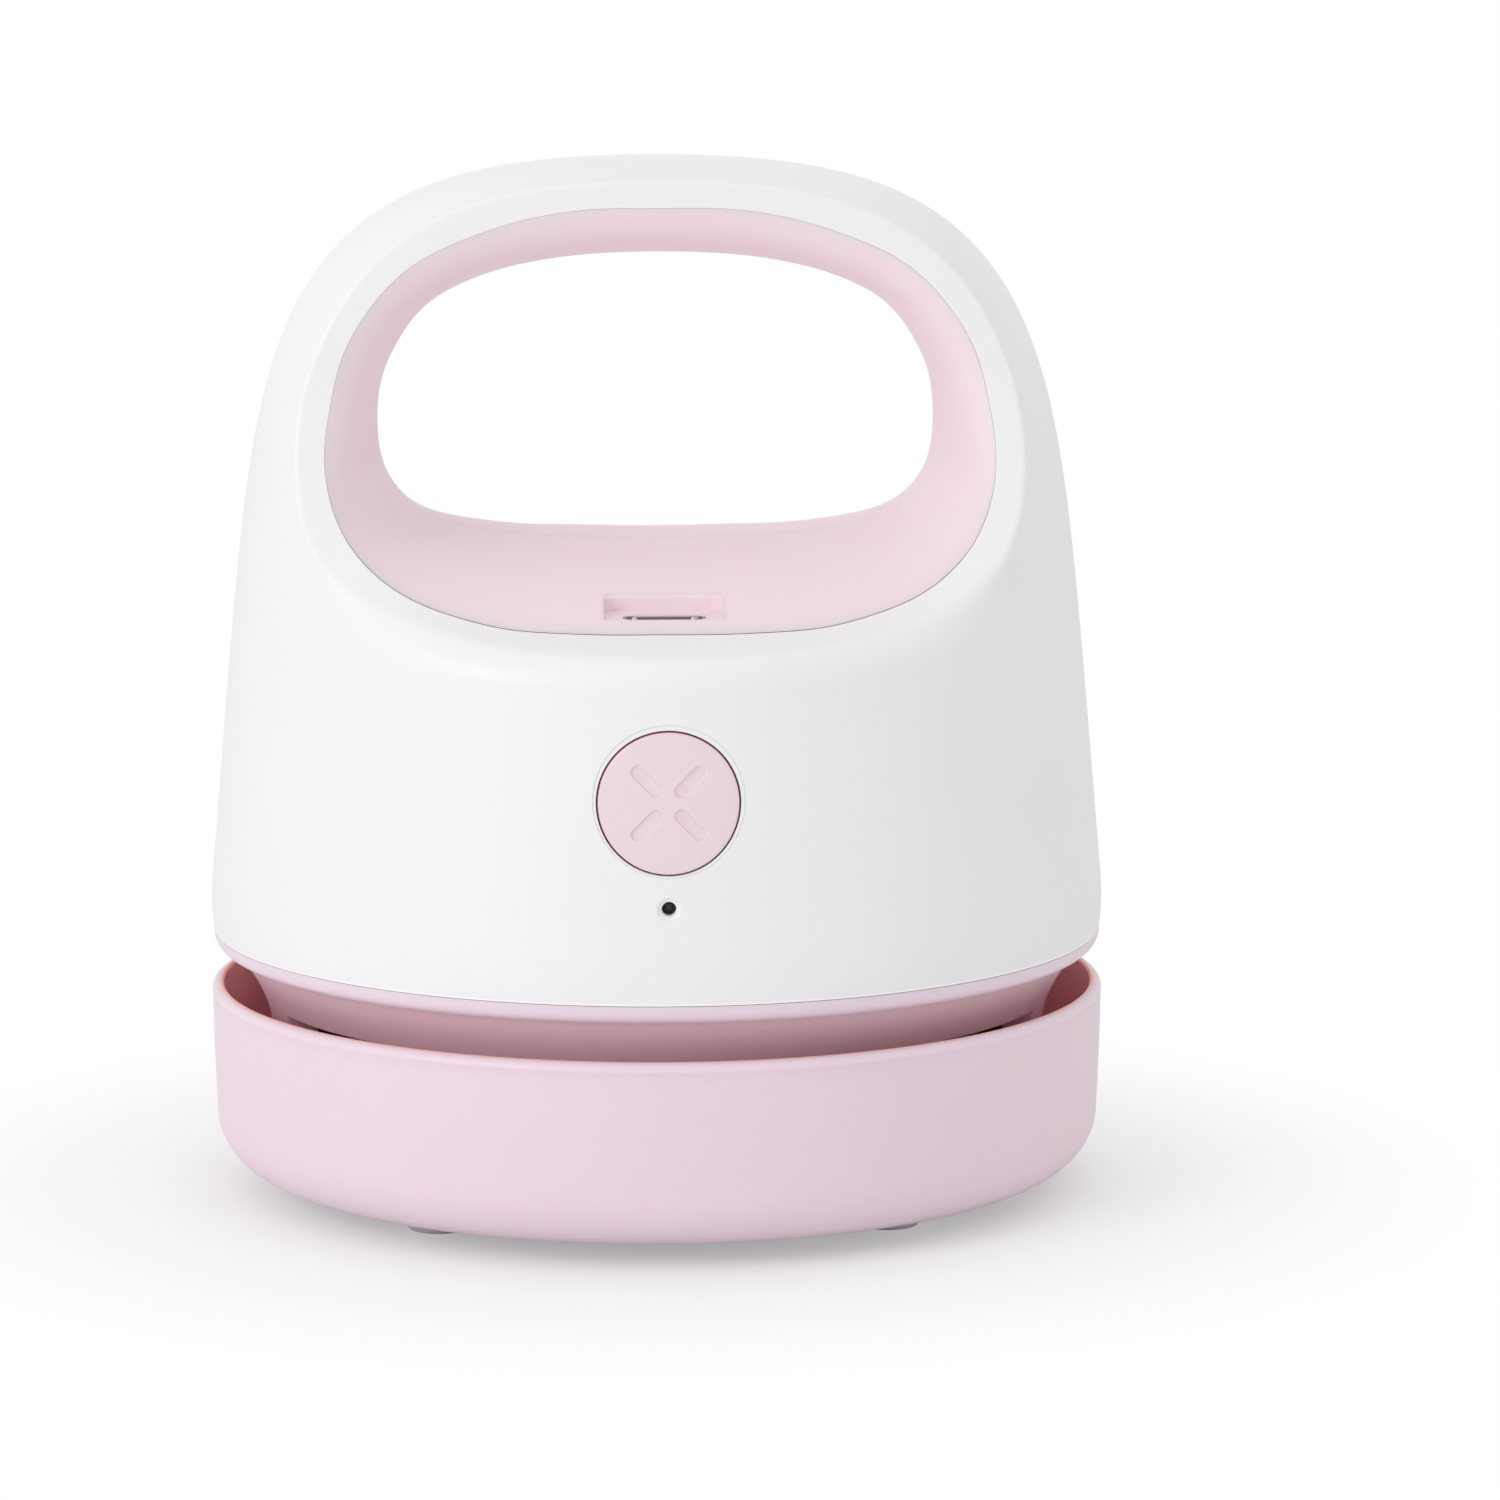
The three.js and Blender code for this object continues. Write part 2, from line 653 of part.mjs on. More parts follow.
function buildLinerFront() {
  const padShape = roundedRectangle(
    notchWidth + 2 * notchPadBorder,
    2 * (socketDepth - notchBackDepth + notchPadBorder),
    notchCornerRadius,
  );
  const pad = solidOf(plateZ(padShape, notchFloor - notchPadThickness, notchFloor - seatGap));
  const padFront = -socketDepth - socketThickness / 2 - notchPadBorder;
  const padKeep = block(-farOut, farOut, padFront + socketDepth, farOut, 0, bodyHeight);
  const placedPad = moved(pad.intersect(padKeep), 0, -socketDepth, 0);
  const notchLong = 2 * (scoopAxisDepth - notchBackDepth);
  const notchShape = roundedRectangle(notchWidth, notchLong, notchCornerRadius);
  const notch = moved(solidOf(plateZ(notchShape, notchFloor, bodyHeight)), 0, -scoopAxisDepth, 0);
  const slotSize = [socketWidth + fitGap, socketThickness + fitGap];
  const slotShape = roundedRectangle(...slotSize, slotSize[1] / 4);
  const slotLow = notchFloor - notchPadThickness - cutOverrun;
  const slot = moved(solidOf(plateZ(slotShape, slotLow, bodyHeight)), 0, -socketDepth, 0);
  return linerHalf(-1).add(placedPad).subtract(notch).subtract(slot);
}

function moved(solid, x, y, z) {
  return solidOf(geometryOf(solid).translate(x, y, z));
}

// Base ring: rim, cove, neck with its windows, deck, spigot and the posts of the fan cover

const postCircle = [];
for (let i = 0; i < postCount; i += 1) {
  postCircle.push(onCircle(postCircleRadius, postFirstAngle + i * 2 * Math.PI / postCount));
}
const coveShares = [0.3, 0.55, 0.8, 1];
const rimRoundShares = [[0.4, 0.12], [0.8, 0.45]];

function buildBaseRing() {
  const spigotRadius = domeRadius(seamHeight, shellWall) - fitGap;
  const rimTop = seamHeight - fitGap;
  const profile = [
    [neckInnerRadius, neckBottomHeight],
    [neckRadius, neckBottomHeight],
    [neckRadius, coveBottom],
  ];
  for (const share of coveShares) {
    profile.push([neckRadius + coveReach * share ** covePower, coveBottom + coveHeight * share]);
  }
  for (const [across, up] of rimRoundShares) {
    profile.push([coveTopRadius + across * rimUndercut, rimBottom + up * (rimTop - rimBottom)]);
  }
  profile.push(
    [rimRadius, rimTop],
    [spigotRadius, rimTop],
    [spigotRadius, deckTop + spigotTall],
    [spigotRadius - spigotWall, deckTop + spigotTall],
    [spigotRadius - spigotWall, deckTop],
    [motorBossDiameter / 2 + fitGap, deckTop],
    [motorBossDiameter / 2 + fitGap, deckBottom],
    [neckInnerRadius, deckBottom],
    [neckInnerRadius, neckBottomHeight],
  );
  let base = turned(profile);
  for (const [x, y] of postCircle) {
    base = base.add(rodZ(postDiameter / 2, fanCoverTop + fitGap, deckBottom + deckThickness / 2, x, y));
  }
  const postBoreRadius = motorScrewShankDiameter / 2 + fitGap;
  const postBoreTop = fanCoverBottom + screwLength;
  for (const [x, y] of postCircle) {
    base = base.subtract(rodZ(postBoreRadius, fanCoverBottom, postBoreTop, x, y, smallSegments));
  }
  for (let i = 0; i < bossCount; i += 1) {
    const [x, y] = onCircle(bossCircleRadius, bossFirstAngle + i * 2 * Math.PI / bossCount);
    const bore = rodZ(screwShankDiameter / 2 + fitGap, deckBottom - cutOverrun, deckTop + cutOverrun, x, y);
    base = base.subtract(bore);
  }
  for (const side of [-1, 1]) {
    const radius = motorScrewShankDiameter / 2 + fitGap;
    const x = side * motorScrewSpacing / 2;
    base = base.subtract(rodZ(radius, deckBottom - cutOverrun, deckTop + cutOverrun, x, 0, smallSegments));
  }
  const pitch = 2 * windowHalfSpan / windowCount;
  for (const facing of [-Math.PI / 2, Math.PI / 2]) {
    for (let i = 0; i < windowCount; i += 1) {
      const start = facing - windowHalfSpan + i * pitch + (i > 0 ? windowRib / 2 : 0);
      const end = facing - windowHalfSpan + (i + 1) * pitch - (i < windowCount - 1 ? windowRib / 2 : 0);
      const shape = new THREE.Shape();
      shape.absarc(0, 0, bodyRadius, start, end);
      shape.absarc(0, 0, neckInnerRadius - neckWall, end, start, true);
      shape.closePath();
      base = base.subtract(solidOf(plateZ(shape, windowBottom, windowTop, cornerSegments)));
    }
  }
  return base;
}

addPart('upper_shell', buildUpperShell(), materials.whitePlastic);
addPart('liner_front', buildLinerFront(), materials.pinkPlastic);
addPart('liner_back', linerHalf(1), materials.pinkPlastic);
addPart('base_ring', buildBaseRing(), materials.pinkPlastic);

// Power button: face flush with the dome, four grooves, flange behind the wall and a stem to the switch

function buildButton() {
  const flangeBack = buttonFlangeFront - buttonFlangeThickness;
  const bodyBack = (buttonFlangeFront + flangeBack) / 2;
  const body = rodY(buttonRadius, -farOut, -bodyBack, 0, buttonHeight, buttonSegments);
  const flange = rodY(buttonFlangeRadius, -buttonFlangeFront, -flangeBack, 0, buttonHeight, buttonSegments);
  const stem = rodY(
    buttonStemDiameter / 2,
    -flangeBack - buttonFlangeThickness / 2,
    -plungerFront - seatGap,
    0,
    buttonHeight,
  );
  let button = body.intersect(domeSolid(0, seamHeight, roundSegments)).add(flange).add(stem);
  const grooveLength = grooveOuterRadius - grooveInnerRadius + grooveWidth;
  const grooveMiddle = (grooveOuterRadius + grooveInnerRadius) / 2;
  const grooveShape = roundedRectangle(grooveLength, grooveWidth, grooveWidth / 2);
  const underGrooves = domeSolid(grooveDepth, seamHeight, roundSegments);
  for (let i = 0; i < grooveCount; i += 1) {
    const angle = Math.PI / 4 + i * 2 * Math.PI / grooveCount;
    const groove = plateY(grooveShape, -buttonFace - cutOverrun, -buttonFace + cutOverrun, cornerSegments);
    groove.rotateY(-angle);
    groove.translate(grooveMiddle * Math.cos(angle), 0, buttonHeight + grooveMiddle * Math.sin(angle));
    button = button.subtract(solidOf(groove).subtract(underGrooves));
  }
  return button;
}

addPart('power_button', buildButton(), materials.pinkPlastic);

// Push switch on the board

function buildSwitchHousing() {
  const half = switchSide / 2;
  const low = -switchFront;
  const high = -boardFront - seatGap;
  const body = block(-half, half, low, high, buttonHeight - half, buttonHeight + half);
  const wellDepth = plungerInside + buttonTravel + fitGap;
  const well = rodY(plungerDiameter / 2 + fitGap, low - cutOverrun, low + wellDepth, 0, buttonHeight);
  return body.subtract(well);
}

addPart('switch_housing', buildSwitchHousing(), materials.blackPlastic);
addPart(
  'switch_plunger',
  rodY(plungerDiameter / 2, -plungerFront, -switchFront + plungerInside, 0, buttonHeight),
  materials.greyPlastic,
);

// Circuit board with lamp, chip, charging socket and its two screws

function buildBoard() {
  const half = boardWidth / 2;
  let board = block(-half, half, -boardFront, -boardBack, boardBottomHeight, boardTopHeight);
  for (const side of [-1, 1]) {
    const radius = boardScrewShankDiameter / 2 + fitGap;
    const x = side * boardScrewSpacing / 2;
    const [low, high] = [-boardFront - cutOverrun, -boardBack + cutOverrun];
    board = board.subtract(rodY(radius, low, high, x, boardScrewHeight, smallSegments));
  }
  return board;
}

function buildSocketShell() {
  const outer = roundedRectangle(socketWidth, socketThickness, socketThickness / 4);
  const innerSize = [socketWidth - 2 * socketSheet, socketThickness - 2 * socketSheet];
  const inner = roundedRectangle(...innerSize, innerSize[1] / 4);
  const low = socketTop - socketTall;
  const can = solidOf(plateZ(outer, low, socketTop, cornerSegments));
  const mouth = solidOf(plateZ(inner, low + socketSheet, socketTop + cutOverrun, cornerSegments));
  return moved(can.subtract(mouth), 0, -socketDepth, 0);
}

function buildTongue() {
  const [half, halfThickness] = [tongueWidth / 2, tongueThickness / 2];
  const low = socketTop - socketTall + socketSheet + seatGap;
  const front = -socketDepth - halfThickness;
  return block(-half, half, front, front + tongueThickness, low, socketTop - tongueRecess);
}

addPart('circuit_board', buildBoard(), materials.board);
addPart('usb_socket_shell', buildSocketShell(), materials.steel);
addPart('usb_socket_tongue', buildTongue(), materials.blackPlastic);
const ledFront = -boardFront - seatGap - ledDepth;
const ledBack = -boardFront - seatGap;
addPart(
  'status_led',
  block(-ledWidth / 2, ledWidth / 2, ledFront, ledBack, lampHeight - ledTall / 2, lampHeight + ledTall / 2),
  materials.lamp,
);
addPart(
  'light_pipe',
  rodY(lampPipeDiameter / 2, -lampFace + lampPipeRecess, ledFront - seatGap, 0, lampHeight, smallSegments),
  materials.clearPlastic,
);
const chipBottom = boardBottomHeight + chipRise;
const chipFront = -boardBack + seatGap;
addPart(
  'charge_chip',
  block(-chipWidth / 2, chipWidth / 2, chipFront, chipFront + chipDepth, chipBottom, chipBottom + chipTall),
  materials.blackPlastic,
);

// A slotted screw pointing up, its head below the height zero
function screwSolid(shankRadius, headRadius, headTall, length, shankStart = 0) {
  const head = rodZ(headRadius, -headTall, 0);
  const shank = rodZ(shankRadius, -headTall / 2, length + shankStart, 0, 0, smallSegments);
  const slotHalf = slotWidth / 2;
  const slot = block(-headRadius - cutOverrun, headRadius + cutOverrun, -slotHalf, slotHalf,
    -headTall - cutOverrun, -headTall + slotDepth);
  return head.add(shank).subtract(slot);
}

for (const [name, side] of [['board_screw_left', -1], ['board_screw_right', 1]]) {
  const radii = [boardScrewShankDiameter / 2, boardScrewHeadDiameter / 2];
  const screw = addPart(
    name,
    screwSolid(...radii, boardScrewHeadTall, boardScrewLength),
    materials.steel,
  );
  screw.rotation.x = Math.PI / 2;
  screw.position.set(side * boardScrewSpacing / 2, -boardBack + seatGap, boardScrewHeight);
}
for (let i = 0; i < bossCount; i += 1) {
  const [x, y] = onCircle(bossCircleRadius, bossFirstAngle + i * 2 * Math.PI / bossCount);
  const radii = [screwShankDiameter / 2, screwHeadDiameter / 2];
  const screw = addPart(
    `housing_screw_${i + 1}`,
    screwSolid(...radii, screwHeadTall, screwLength),
    materials.steel,
  );
  screw.position.set(x, y, deckBottom - seatGap);
}
postCircle.forEach(([x, y], i) => {
  const radii = [motorScrewShankDiameter / 2, motorScrewHeadDiameter / 2];
  const screw = addPart(
    `fan_cover_screw_${i + 1}`,
    screwSolid(...radii, motorScrewHeadTall, screwLength - fitGap),
    materials.steel,
  );
  screw.position.set(x, y, fanCoverBottom - seatGap);
});

// Motor, standing on the deck with its shaft down through it

const motorBottom = deckTop + seatGap;
const wireTop = throatBottom - linerWall - wireHeadroom;
const terminalTop = wireTop - 1.5 * wireDiameter - wireRise;
const capTop = terminalTop - terminalTall - seatGap;
const capBottom = capTop - motorCapTall;
const canTop = capBottom - seatGap;
const motorBossBottom = deckTop - motorBossLength;
const bladeTop = deckBottom - impellerTopClearance - impellerPlate;
const impellerBottom = bladeTop - impellerBladeTall;
const shaftBoreRadius = shaftDiameter / 2 + fitGap;

function motorOutline(inset) {
  const radius = motorDiameter / 2 - inset;
  const flat = Math.asin((motorFlatWidth / 2 - inset) / radius);
  const shape = new THREE.Shape();
  shape.absarc(0, 0, radius, -flat, flat);
  shape.absarc(0, 0, radius, Math.PI - flat, Math.PI + flat);
  shape.closePath();
  return shape;
}

function buildMotorCan() {
  let can = solidOf(plateZ(motorOutline(0), motorBottom, canTop));
  can = can.add(rodZ(motorBossDiameter / 2, motorBossBottom, motorBottom + seatGap));
  const boreTop = motorBottom + shaftInMotor + fitGap;
  can = can.subtract(rodZ(shaftBoreRadius, motorBossBottom - cutOverrun, boreTop));
  for (const side of [-1, 1]) {
    const radius = motorScrewShankDiameter / 2 + fitGap;
    const top = deckTop + motorScrewBite + fitGap;
    const x = side * motorScrewSpacing / 2;
    can = can.subtract(rodZ(radius, motorBottom - cutOverrun, top, x, 0, smallSegments));
  }
  return can;
}

addPart('motor_can', buildMotorCan(), materials.steel);
const capSolid = solidOf(plateZ(motorOutline(motorCapInset), capBottom, capTop));
addPart('motor_end_cap', capSolid, materials.blackPlastic);
for (const [name, side] of [['motor_terminal_left', -1], ['motor_terminal_right', 1]]) {
  const middle = side * terminalSpacing / 2;
  const [half, halfThickness] = [terminalWidth / 2, terminalThickness / 2];
  addPart(
    name,
    block(middle - half, middle + half, -halfThickness, halfThickness, capTop + seatGap, terminalTop),
    materials.brass,
  );
}
for (const [name, side] of [['motor_screw_left', -1], ['motor_screw_right', 1]]) {
  const radii = [motorScrewShankDiameter / 2, motorScrewHeadDiameter / 2];
  const length = deckThickness + motorScrewBite;
  const screw = addPart(name, screwSolid(...radii, motorScrewHeadTall, length), materials.steel);
  screw.position.set(side * motorScrewSpacing / 2, 0, deckBottom - seatGap);
}

// Fan: impeller with swept blades under its plate, on the motor shaft

function bladeShape() {
  const outer = impellerRadius - seatGap;
  const stepCount = 4;
  const lead = [];
  const trail = [];
  for (let i = 0; i <= stepCount; i += 1) {
    const share = i / stepCount;
    const radius = impellerEyeRadius + share * (outer - impellerEyeRadius);
    const angle = bladeSweep * share ** 2;
    const halfAngle = impellerBladeThickness / 2 / radius;
    lead.push(new THREE.Vector2(...onCircle(radius, angle + halfAngle)));
    trail.unshift(new THREE.Vector2(...onCircle(radius, angle - halfAngle)));
  }
  return new THREE.Shape([...lead, ...trail]);
}

function buildImpeller() {
  const hubRadius = impellerHubDiameter / 2;
  const plateTop = bladeTop + impellerPlate;
  const profile = [
    [shaftBoreRadius, impellerBottom],
    [hubRadius, impellerBottom],
    [hubRadius, bladeTop],
    [impellerRadius, bladeTop],
    [impellerRadius, plateTop],
    [shaftBoreRadius, plateTop],
    [shaftBoreRadius, impellerBottom],
  ];
  let impeller = turned(profile, hiddenSegments);
  for (let i = 0; i < bladeCount; i += 1) {
    const blade = plateZ(bladeShape(), impellerBottom, bladeTop + impellerPlate / 2);
    impeller = impeller.add(solidOf(blade.rotateZ(i * 2 * Math.PI / bladeCount)));
  }
  return impeller;
}

const shaftTop = motorBottom + shaftInMotor;
addPart('motor_shaft', rodZ(shaftDiameter / 2, impellerBottom, shaftTop), materials.steel);
addPart('impeller', buildImpeller(), materials.greyPlastic);

function buildFanCover() {
  const coverRadius = neckInnerRadius - fitGap;
  let cover = ring(fanInletDiameter / 2, coverRadius, fanCoverBottom, fanCoverTop);
  for (const [x, y] of postCircle) {
    const radius = motorScrewShankDiameter / 2 + fitGap;
    const [low, high] = [fanCoverBottom - cutOverrun, fanCoverTop + cutOverrun];
    cover = cover.subtract(rodZ(radius, low, high, x, y, smallSegments));
  }
  return cover;
}

addPart('fan_cover', buildFanCover(), materials.greyPlastic);

// Battery in its holder behind the motor

const holderBottom = deckTop + seatGap;
const batteryBottom = holderBottom + holderWall + seatGap;
const batteryTop = rimOutlineBottom - batteryTopRoom;
const batteryBackDepth = bodyRadius - batteryBackRoom;
const batteryFrontDepth = batteryBackDepth - batteryThickness;
const bossX = bossCircleRadius * Math.cos(bossFirstAngle);
const batteryWidth = 2 * (bossX - bossDiameter / 2 - holderSideRoom);

function buildBattery() {
  const shape = roundedRectangle(batteryWidth, batteryThickness, batteryCornerRadius);
  const cell = solidOf(plateZ(shape, batteryBottom, batteryTop, cornerSegments));
  return moved(cell, 0, (batteryFrontDepth + batteryBackDepth) / 2, 0);
}

function buildHolder() {
  const outerHalf = batteryWidth / 2 + seatGap + holderWall;
  const innerHalf = batteryWidth / 2 + seatGap;
  const front = batteryFrontDepth - seatGap - holderWall;
  const top = batteryBottom + holderTallShare * (batteryTop - batteryBottom);
  const floorTop = holderBottom + holderWall;
  const shelfHalf = innerHalf - holderLip;
  const whole = block(-outerHalf, outerHalf, front, batteryFrontDepth + holderLip, holderBottom, top);
  const room = block(-innerHalf, innerHalf, front + holderWall, farOut, floorTop, top + cutOverrun);
  const shelf = block(-shelfHalf, shelfHalf, front, batteryBackDepth, holderBottom, floorTop);
  return whole.subtract(room).add(shelf);
}

addPart('battery_cell', buildBattery(), materials.battery);
addPart('battery_holder', buildHolder(), materials.blackPlastic);

// Wires, from the motor and the battery over the motor to the back of the board

function wireSolid(points) {
  const path = new THREE.CatmullRomCurve3(points.map((place) => new THREE.Vector3(...place)));
  const section = new THREE.Shape();
  for (let i = 0; i < wireSides; i += 1) {
    const [x, y] = onCircle(wireDiameter / 2, i * 2 * Math.PI / wireSides);
    if (i === 0) section.moveTo(x, y);
    else section.lineTo(x, y);
  }
  section.closePath();
  const options = { steps: wireSteps, bevelEnabled: false, extrudePath: path };
  return solidOf(new THREE.ExtrudeGeometry(section, options));
}

const wireOver = terminalTop + wireRise;
const boardFace = -boardBack + seatGap;
const motorPadHeight = boardScrewHeight + wirePadRise;
const batteryPadHeight = motorPadHeight + wirePadRise;
const wireRadius = wireDiameter / 2;
for (const [colour, side] of [['red', -1], ['black', 1]]) {
  const wireMaterial = colour === 'red' ? materials.redWire : materials.blackWire;
  const padX = side * motorWirePadSpacing / 2;
  const motorX = side * terminalSpacing / 2;
  const motorFrontFace = -motorFlatWidth / 2;
  addPart(`motor_wire_${colour}`, wireSolid([
    [motorX, 0, terminalTop + seatGap],
    [motorX, 0, terminalTop + wireRise / 2],
    [motorX, motorFrontFace / 2, wireOver],
    [(motorX + padX) / 2, motorFrontFace - wireRise, terminalTop],
    [padX, (motorFrontFace - boardBack) / 2, (terminalTop + motorPadHeight) / 2],
    [padX, boardFace + 2 * wireRise, motorPadHeight],
    [padX, boardFace, motorPadHeight],
  ]), wireMaterial);
  const farX = side * batteryWirePadSpacing / 2;
  const tabX = side * batteryTabSpacing / 2;
  const batteryMiddle = (batteryFrontDepth + batteryBackDepth) / 2;
  const batteryOver = wireOver + wireDiameter;
  const besideMotor = side * (motorDiameter / 2 + wireDiameter);
  addPart(`battery_wire_${colour}`, wireSolid([
    [tabX, batteryMiddle, batteryTop + seatGap],
    [tabX, batteryMiddle, batteryTop + wireRadius],
    [(tabX + besideMotor) / 2, batteryFrontDepth - wireRise, batteryOver - wireRise / 2],
    [besideMotor, 0, batteryOver],
    [besideMotor, motorFrontFace - wireRise, batteryOver - wireRise],
    [farX, (motorFrontFace - boardBack) / 2, (batteryOver + batteryPadHeight) / 2],
    [farX, boardFace + wireRise, batteryPadHeight],
    [farX, boardFace, batteryPadHeight],
  ]), wireMaterial);
}

// Filter that hangs in the mouth of the neck

const filterRadius = neckInnerRadius - fitGap;
const filterRingInner = filterRadius - filterFrameWidth;

function buildFilterFrame() {
  let frame = ring(filterRingInner, filterRadius, filterFrameBottom, filterFrameTop);
  const reach = filterRadius - filterFrameWidth / 2;
  const barTop = filterFrameBottom + filterBarTall;
  for (let i = 0; i < filterBarCount; i += 1) {
    const bar = new THREE.BoxGeometry(2 * reach, filterBarWidth, filterBarTall);
    bar.translate(0, 0, (filterFrameBottom + barTop) / 2).rotateZ(i * Math.PI / filterBarCount);
    frame = frame.add(solidOf(bar));
  }
  return frame;
}

addPart('filter_frame', buildFilterFrame(), materials.whitePlastic);
const filterBottom = filterFrameBottom + filterBarTall + seatGap;
addPart(
  'filter_element',
  rodZ(filterRingInner - fitGap, filterBottom, filterBottom + filterThickness, 0, 0, hiddenSegments),
  materials.filter,
);
addPart(
  'filter_gasket',
  ring(filterRadius - gasketWidth, filterRadius - seatGap, gasketTop - gasketTall, gasketTop),
  materials.rubber,
);

// Dust cup

const cupFloorTop = footHeight + cupFloor;
const cupInnerLipRadius = bodyRadius - cupLipThickness;
const ringInner = neckRadius + fitGap;
const ringOuter = ringInner + cupRingWall;
const ringTop = neckBottomHeight + cupRingOverlap;
const ledgeHeight = neckBottomHeight - fitGap - sealTall - seatGap;
const mouthRadius = mouthDiameter / 2;
const brushInnerRadius = mouthRadius + mouthLandWidth;
const brushOuterRadius = brushInnerRadius + brushChannelWidth;
const channelTop = hatTop - hatWall;
const footCircleRadius = bodyRadius - footInset;
const cupFlankBottom = footHeight + cupCornerRadius;
const cupCornerShares = [0.2, 0.45, 0.72];
const lipRoundShares = [[0.28, 0.04], [0.68, 0.32]];

function buildCup() {
  const cornerMiddle = bodyRadius - cupFlankTaper - cupCornerRadius;
  const profile = [
    [mouthRadius, hatTop],
    [mouthRadius, footHeight + mouthFlare],
    [mouthRadius + mouthFlare, footHeight],
    [brushInnerRadius, footHeight],
    [brushInnerRadius, channelTop],
    [brushOuterRadius, channelTop],
    [brushOuterRadius, footHeight],
    [cornerMiddle, footHeight],
  ];
  for (const share of cupCornerShares) {
    const angle = share * Math.PI / 2;
    const out = cornerMiddle + cupCornerRadius * Math.sin(angle);
    profile.push([out, cupFlankBottom - cupCornerRadius * Math.cos(angle)]);
  }
  const lipShoulder = cupLipHeight - cupLipRound;
  profile.push(
    [bodyRadius - cupFlankTaper, cupFlankBottom],
    [bodyRadius - cupFlankTaper / 4, (cupFlankBottom + lipShoulder) / 2],
    [bodyRadius, lipShoulder],
  );
  for (const [across, down] of [...lipRoundShares].reverse()) {
    profile.push([cupInnerLipRadius + across * cupLipThickness, cupLipHeight - down * cupLipRound]);
  }
  profile.push(
    [cupInnerLipRadius, cupLipHeight],
    [cupInnerLipRadius - cupWallTaper, cupFlankBottom],
    [ringOuter + (cupInnerLipRadius - cupWallTaper - ringOuter) / 2, cupFloorTop],
    [ringOuter, cupFloorTop],
    [ringOuter, ringTop],
    [ringInner, ringTop],
    [ringInner, ledgeHeight],
    [ringInner - cupLedgeWidth, ledgeHeight],
    [ringInner - cupLedgeWidth, cupFloorTop],
    [brushOuterRadius + hatWall, cupFloorTop],
    [brushOuterRadius + hatWall, hatTop],
    [mouthRadius, hatTop],
  );
  let cup = turned(profile);
  for (let i = 0; i < footCount; i += 1) {
    const [x, y] = onCircle(footCircleRadius, Math.PI / 4 + i * 2 * Math.PI / footCount);
    const top = footHeight + footSink + seatGap;
    cup = cup.subtract(rodZ(footDiameter / 2 + fitGap, footHeight - cutOverrun, top, x, y));
  }
  return cup;
}

addPart('dust_cup', buildCup(), materials.pinkPlastic);
const sealBottom = ledgeHeight + seatGap;
addPart(
  'cup_seal_ring',
  ring(ringInner - cupLedgeWidth + sealInset, ringInner - sealInset, sealBottom, sealBottom + sealTall),
  materials.rubber,
);

// Brush ring under the cup, round the intake mouth

const holderInner = brushInnerRadius + fitGap;
const holderOuter = brushOuterRadius - fitGap;
const brushHolderTop = channelTop - seatGap;
const brushHolderBottom = brushHolderTop - brushHolderTall;
const bristleTop = brushHolderBottom - seatGap;
addPart(
  'brush_holder',
  ring(holderInner, holderOuter, brushHolderBottom, brushHolderTop),
  materials.greyPlastic,
);
addPart(
  'brush_bristles',
  ring(holderInner + bristleBorder, holderOuter - bristleBorder, bristleGroundClearance, bristleTop),
  materials.bristle,
);

for (let i = 0; i < footCount; i += 1) {
  const [x, y] = onCircle(footCircleRadius, Math.PI / 4 + i * 2 * Math.PI / footCount);
  const radius = footDiameter / 2;
  const foot = addPart(`glide_foot_${i + 1}`, turned([
    [0, 0],
    [radius - footBevel, 0],
    [radius, footBevel],
    [radius, footHeight + footSink],
    [0, footHeight + footSink],
  ], holeSegments), materials.rubber);
  foot.position.set(x, y, 0);
}

export default vacuum;
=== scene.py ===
import json
import math

import bmesh
import bpy
from mathutils import Matrix, Vector

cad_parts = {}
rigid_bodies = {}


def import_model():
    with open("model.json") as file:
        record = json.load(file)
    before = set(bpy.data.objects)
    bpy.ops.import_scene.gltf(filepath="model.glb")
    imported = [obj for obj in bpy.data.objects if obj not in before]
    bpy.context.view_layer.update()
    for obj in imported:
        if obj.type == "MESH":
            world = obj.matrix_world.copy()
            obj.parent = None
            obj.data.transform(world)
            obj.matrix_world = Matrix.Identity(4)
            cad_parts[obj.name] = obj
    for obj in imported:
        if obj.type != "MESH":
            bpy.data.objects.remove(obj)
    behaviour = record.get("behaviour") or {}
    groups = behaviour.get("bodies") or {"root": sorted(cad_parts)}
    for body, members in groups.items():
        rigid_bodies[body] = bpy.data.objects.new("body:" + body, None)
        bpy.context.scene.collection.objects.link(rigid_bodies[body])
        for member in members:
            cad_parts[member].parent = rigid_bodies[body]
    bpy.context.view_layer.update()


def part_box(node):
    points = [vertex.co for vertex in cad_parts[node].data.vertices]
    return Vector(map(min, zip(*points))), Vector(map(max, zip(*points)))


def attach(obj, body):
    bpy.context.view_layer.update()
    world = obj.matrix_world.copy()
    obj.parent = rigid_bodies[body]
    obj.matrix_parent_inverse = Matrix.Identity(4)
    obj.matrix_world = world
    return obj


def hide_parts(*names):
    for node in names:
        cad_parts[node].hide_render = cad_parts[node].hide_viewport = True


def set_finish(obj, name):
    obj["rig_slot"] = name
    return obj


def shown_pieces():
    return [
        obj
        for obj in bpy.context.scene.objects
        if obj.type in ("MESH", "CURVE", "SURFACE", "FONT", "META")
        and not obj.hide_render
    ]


# Small battery desk vacuum: white shell with a handle, pink liner, button, rim and dust cup.
# Shapes are worked out in millimetres and scaled to metres when a piece is finished.

for leftover in list(bpy.data.objects):
    bpy.data.objects.remove(leftover)

